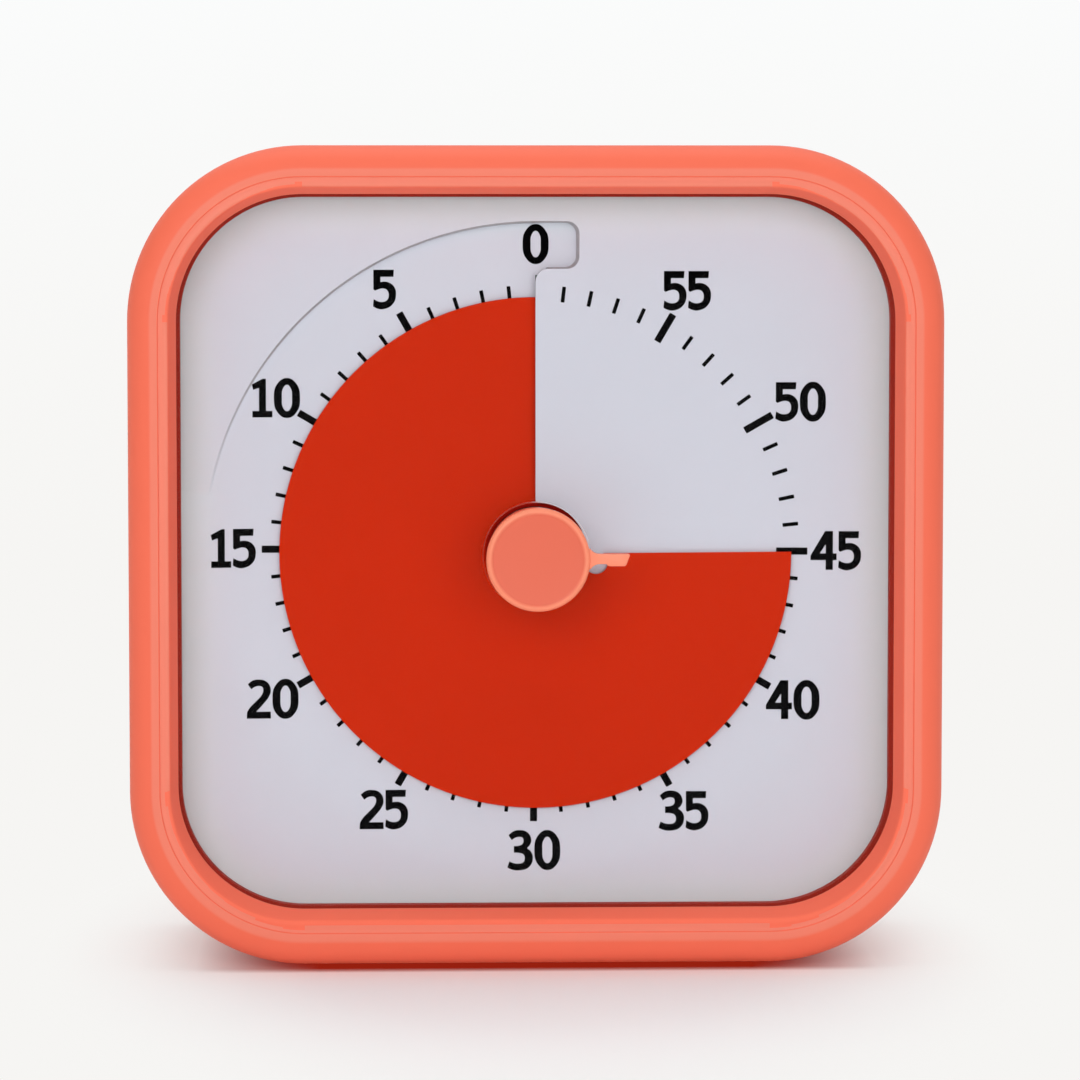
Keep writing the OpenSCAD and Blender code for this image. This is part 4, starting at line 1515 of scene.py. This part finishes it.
    def draw_digit(self, digit: Digit) -> bpy.types.Mesh:
        """Draws one digit as a filled flat mesh.

        Args:
            digit: The digit's outlines.

        Returns:
            Its mesh in the digit's units, with y up.
        """
        clear_bench()
        curve = bpy.data.curves.new(digit.name.lower(), "CURVE")
        curve.dimensions, curve.fill_mode, curve.resolution_u, curve.offset = "2D", "BOTH", 6, self.bold
        for loop in digit.loops:
            spline = curve.splines.new("BEZIER")
            spline.bezier_points.add(len(loop) - 1)
            spline.use_cyclic_u = True
            for point, (x, y, curves) in zip(spline.bezier_points, loop):
                point.co = (x, -y, 0)
                point.handle_left_type = point.handle_right_type = "AUTO" if curves else "VECTOR"
        drawn = bpy.data.objects.new(digit.name.lower(), curve)
        bpy.context.scene.collection.objects.link(drawn)
        take(drawn)
        bpy.ops.object.convert(target="MESH")
        open_mesh(drawn)
        bpy.ops.mesh.remove_doubles(threshold=1e-4)
        bpy.ops.mesh.beautify_fill()
        slice_open(PRINT_UP, [-6.5 * cut for cut in range(1, 6)])
        slice_open(PRINT_RIGHT, [6.4 * cut for cut in range(1, 4)])
        close_mesh()
        mesh = drawn.data.copy()
        bpy.data.objects.remove(drawn)
        return mesh

    def print_numerals(self) -> list[Piece]:
        """Prints the twelve numerals, each digit drawn once and copied.

        Returns:
            The draped digits.
        """
        drawn = {char: self.draw_digit(digit) for char, digit in DIGITS.items()}
        prints = []
        for text, (x, y) in self.numerals.items():
            widths = [DIGITS[char].width for char in text]
            left = x - (sum(widths) + self.gap * (len(text) - 1)) * self.unit / 2
            for char, width in zip(text, widths):
                corner = Matrix.Translation((left, y + 19.5 * self.unit, 0))
                prints.append(self.lay_print(drawn[char], corner @ Matrix.Scale(self.unit, 4)))
                left += (width + self.gap) * self.unit
        return prints

    def print_ticks(self) -> list[Piece]:
        """Prints a tick at each minute but the first, one short and one long tick copied round.

        Returns:
            The draped ticks.
        """
        ticks = []
        for inner, outer, wide, minutes in (
            (27.75, 29.5, 0.42, [m for m in range(1, 60) if m % 5]),
            (26.9, 30.4, 0.8, range(5, 60, 5)),
        ):
            clear_bench()
            bpy.ops.mesh.primitive_plane_add(size=1)
            model = bpy.context.object
            model.scale = (wide, outer - inner, 1)
            model.location = (0, (inner + outer) / 2, 0)
            settle(model)
            open_mesh(model)
            bpy.ops.mesh.bevel(offset=0.05, offset_type="OFFSET", segments=2, affect="VERTICES")
            slice_open(PRINT_UP, [inner + (outer - inner) * cut / 5 for cut in range(1, 5)])
            close_mesh()
            for minute in minutes:
                turned = Matrix.Rotation(math.radians(6 * minute + self.print_turn), 4, "Z")
                ticks.append(self.lay_print(model.data, Matrix.Translation((*self.print_place, 0)) @ turned))
            bpy.data.objects.remove(model)
        return ticks

    def build(self) -> None:
        """Models the plate and prints its numerals and ticks."""
        sheet = self.wind_plate()
        self.cut_tab(sheet)
        self.add_bosses(sheet)
        soften(sheet, 28)
        finish_piece(sheet, "case", "dial_grey", self.paint.make(), "dial_plate")
        prints = self.print_numerals() + self.print_ticks()
        clear_bench()
        for piece in prints:
            piece.select_set(True)
        bpy.context.view_layer.objects.active = prints[0]
        bpy.ops.object.join()
        ink = bpy.context.object
        ink.name = "dial_print"
        finish_piece(ink, "case", None, self.ink.make())


# ---- What turns ----


@dataclass
class Disc:
    """The thin red disc, wound one pitch in a turn, and its hub."""

    outer_r: float = 28.5
    inner_r: float = 5.23
    rings: tuple[float, float] = (20, 12)
    thick: float = 0.3
    slip: float = 0.2
    shown: float = 270.0
    lead: float = 0.3
    span: float = 358.0
    steps: int = 240
    notch: tuple[float, float, float] = (6.75, -1.0, 1.3)
    # The film carries a painted shade ring near the hub.
    film: Finish = DiscFilm(
        "red_film", (205, 42, 5), 0.34, 0.3, 0.0012, 0.1, 0.05, 0.08, (214, 70, 44), 0.0, 0.0, specular=0.03
    )
    hub: Finish = Finish(
        "black_acetal", (36, 36, 38), 0.4, 0.18, 0.003, 0.3, 0.08, 0.1, (80, 80, 82), 0.2, 0.0
    )

    def build(self, dial: Dial) -> None:
        """Winds the disc's section round its axis and cuts the notch.

        Args:
            dial: The dial whose ramp it follows.
        """
        front = dial.top + dial.pitch * self.shown / 360 + self.slip + self.thick - dial.pitch
        back, soft = front - self.thick, 0.05
        section = [
            (self.inner_r, back), (self.outer_r - soft, back), (self.outer_r, back + soft),
            (self.outer_r, front - soft), (self.outer_r - soft, front),
            *((radius, front) for radius in self.rings), (self.inner_r, front),
        ]  # fmt: skip
        across, up = math.cos(math.radians(self.lead)), math.sin(math.radians(self.lead))
        points = [Vector((r * across, -h, r * up)) * MM for r, h in [*section, section[0]]]
        disc = draw_line("red_disc", points)
        close_mesh()
        wind(disc, self.span, dial.pitch * self.span / 360, self.steps)
        count = len(section)
        verts = disc.data.vertices
        ends = [range(count), range(len(verts) - count, len(verts))]
        disc.location = spot(0, 0, 0)
        settle(disc)
        open_mesh(disc)
        for end in ends:
            select(disc, Pick.VERT, lambda v, end=end: v.index in end)
            bpy.ops.mesh.edge_face_add()
        close_mesh()
        face_out(disc)
        x, y, radius = self.notch
        join_solid(disc, rod("notch", (x, y), radius, dial.top - 0.45, dial.top + 2, 32), "DIFFERENCE")
        soften(disc, 30)
        finish_piece(disc, "disc", "disc_red", self.film.make(), "time_disc")
        dress(self.hub.make(), "disc_hub", "buzzer_ring")


def at_height(height: float) -> Callable[..., bool]:
    """Gives a test that an edge passes when it lies at a height.

    Args:
        height: The height in millimetres.

    Returns:
        The test.
    """
    level = -height * MM
    return lambda edge: all(abs(v.co.y - level) < TOUCH for v in edge.verts)


@dataclass
class Knob:
    """The coral knob with its pointer arm, and what it turns behind the dial."""

    face: float = 20.0
    low: float = 12.0
    radius: float = 5.7
    round_r: float = 0.5
    dish: tuple[Place, ...] = ((0.1, 0.02), (0.12, 0.1), (0.14, 0.03))
    cap_t: float = 1.5
    draft: float = 0.93
    reach: float = 10.05
    arm: tuple[float, float] = (18.3, 19.5)
    arbor_r: float = 1.52
    # The knob's coral carries a painted highlight on its rim and pointer arm.
    coral: Finish = PaintedRimHighlight(
        "coral_knob", (234, 109, 82), 0.38, 0.2, 0.0025, 0.3, 0.03, 0.1, (255, 168, 140), 0.15, 0.02,
        specular=0.35,
    )  # fmt: skip
    spring: Finish = Metal("spring_steel", (186, 187, 190), 0.28, lines=0.06)

    def pointer_outline(self) -> list[Place]:
        """Lists the pointer's outline: a straight top edge, a neck and a wider paddle.

        Returns:
            Its points, clockwise from the knob.
        """
        high, neck, paddle, start = 0.6, 0.49, 0.73, self.radius
        return [
            (start - 1.5, high + 1.2),
            *arc((start + 1.05, high + 1.2), 1.2, 215, 270, 6),
            (self.reach - 0.12, high),
            (self.reach, high - 0.12),
            (self.reach - 0.4, -paddle + 0.15),
            (self.reach - 0.55, -paddle),
            (self.reach - 2.2, -paddle),
            (self.reach - 2.45, -paddle + 0.08),
            (self.reach - 2.6, -neck),
            *arc((start + 1.05, -neck - 1.2), 1.2, 90, 145, 6),
            (start - 1.5, -neck - 1.2),
        ]

    def build(self) -> None:
        """Models the cap, its dished face and the pointer."""
        cap = rod("knob_with_pointer", (0, 0), self.radius, self.low, self.face, 128)
        foot, middle = -(self.low + 0.1) * MM, spot(0, 0, self.low)
        open_mesh(cap)
        bevel_edges(cap, at_height(self.face), self.round_r * MM, 6)
        select(cap, Pick.FACE, lambda f: f.normal.y < -0.99 and len(f.verts) > 20)
        for width, sink in self.dish:
            bpy.ops.mesh.inset(thickness=width * MM, depth=-sink * MM)
        select(cap, Pick.FACE, lambda f: f.normal.y > 0.99 and len(f.verts) > 20)
        bpy.ops.mesh.inset(thickness=(self.radius - self.arbor_r) * MM, depth=0)
        extrude(FRONT * (self.face - self.cap_t - self.low) * MM)
        select(cap, Pick.VERT, lambda v: v.co.y > foot and (v.co - middle).length > 5 * MM)
        bpy.ops.transform.resize(value=(self.draft, 1, self.draft), center_override=middle)
        close_mesh()
        arm = plate("arm", self.pointer_outline(), *self.arm)
        open_mesh(arm)
        bevel_edges(arm, at_height(self.arm[1]), 0.09 * MM, 2)
        close_mesh()
        join_solid(cap, arm, "UNION")
        soften(cap, 35)
        finish_piece(cap, "knob", "knob_abs", self.coral.make(), "knob_cap")
        dress(self.spring.make(), "arbor", "clutch_spring", "stator", "crystal_can")


# ---- The works ----


@dataclass
class Works:
    """The movement, the board, the sounder and the cell, which keep the shapes that they have."""

    finishes: dict[Finish, tuple[str, ...]] = field(
        default_factory=lambda: {
            Finish("white_housing", (224, 224, 217), 0.5, 0.2, 0.004): (
                "movement_base", "zero_cam", "coil_bobbin",
            ),
            Finish("natural_acetal", (236, 235, 228), 0.36, 0.15, 0.002): (
                "third_wheel", "fourth_wheel", "fifth_wheel", "rotor_pinion",
            ),
            Finish("black_housing", (34, 34, 36), 0.5, 0.2, 0.004, worn=(90, 90, 92)): ("movement_cover",),
            Metal("turned_brass", (206, 168, 92), 0.3): ("centre_wheel", "arbor_bush", "alarm_leaf"),
            Metal("buzzer_brass", (210, 174, 98), 0.34, lines=0.12): ("buzzer",),
            Metal("nickel_plate", (204, 204, 202), 0.24, lines=0.1): ("contact_spring", "contact_plate"),
            Finish("sintered_magnet", (58, 58, 60), 0.62, 0.1, 0.006, pebble=0.7): ("rotor_magnet",),
            Wire("copper_winding", (176, 92, 50), 0.35, depth=0.03): ("coil_winding",),
            Metal("copper_lead", (186, 104, 62), 0.32): ("coil_leads",),
            Finish("green_mask", (18, 84, 46), 0.3, 0.5, 0.004, coat=0.3, worn=(70, 130, 92)): (
                "main_board",
            ),
            Finish("chip_epoxy", (20, 20, 22), 0.38, 0.3, 0.01, worn=(60, 60, 62)): ("timer_chip",),
            CellSkin("cell_film", (40, 43, 50), 0.3, 0.5, 0.002, coat=0.3, metallic=0.3): ("battery_cell",),
            Finish("red_insulation", (186, 26, 20), 0.42, 0.2, 0.003): ("lead_red",),
            Finish("black_insulation", (26, 26, 28), 0.42, 0.2, 0.003, worn=(80, 80, 82)): ("lead_black",),
        }
    )  # fmt: skip

    def build(self) -> None:
        """Dresses every piece of the works."""
        for finish, nodes in self.finishes.items():
            dress(finish.make(), *nodes)


def main() -> None:
    """Builds the studio and every piece of the timer in order."""
    logging.basicConfig(level=logging.INFO, format="%(name)s: %(message)s")
    for make in (make_drift, make_grain, make_satin, make_wear, make_dust, make_turned):
        make()
    Studio().build()
    Case().build()
    Window().build()
    dial = Dial()
    dial.build()
    Disc().build(dial)
    Knob().build()
    Works().build()


if __name__ == "__main__":
    main()
    clear_bench()
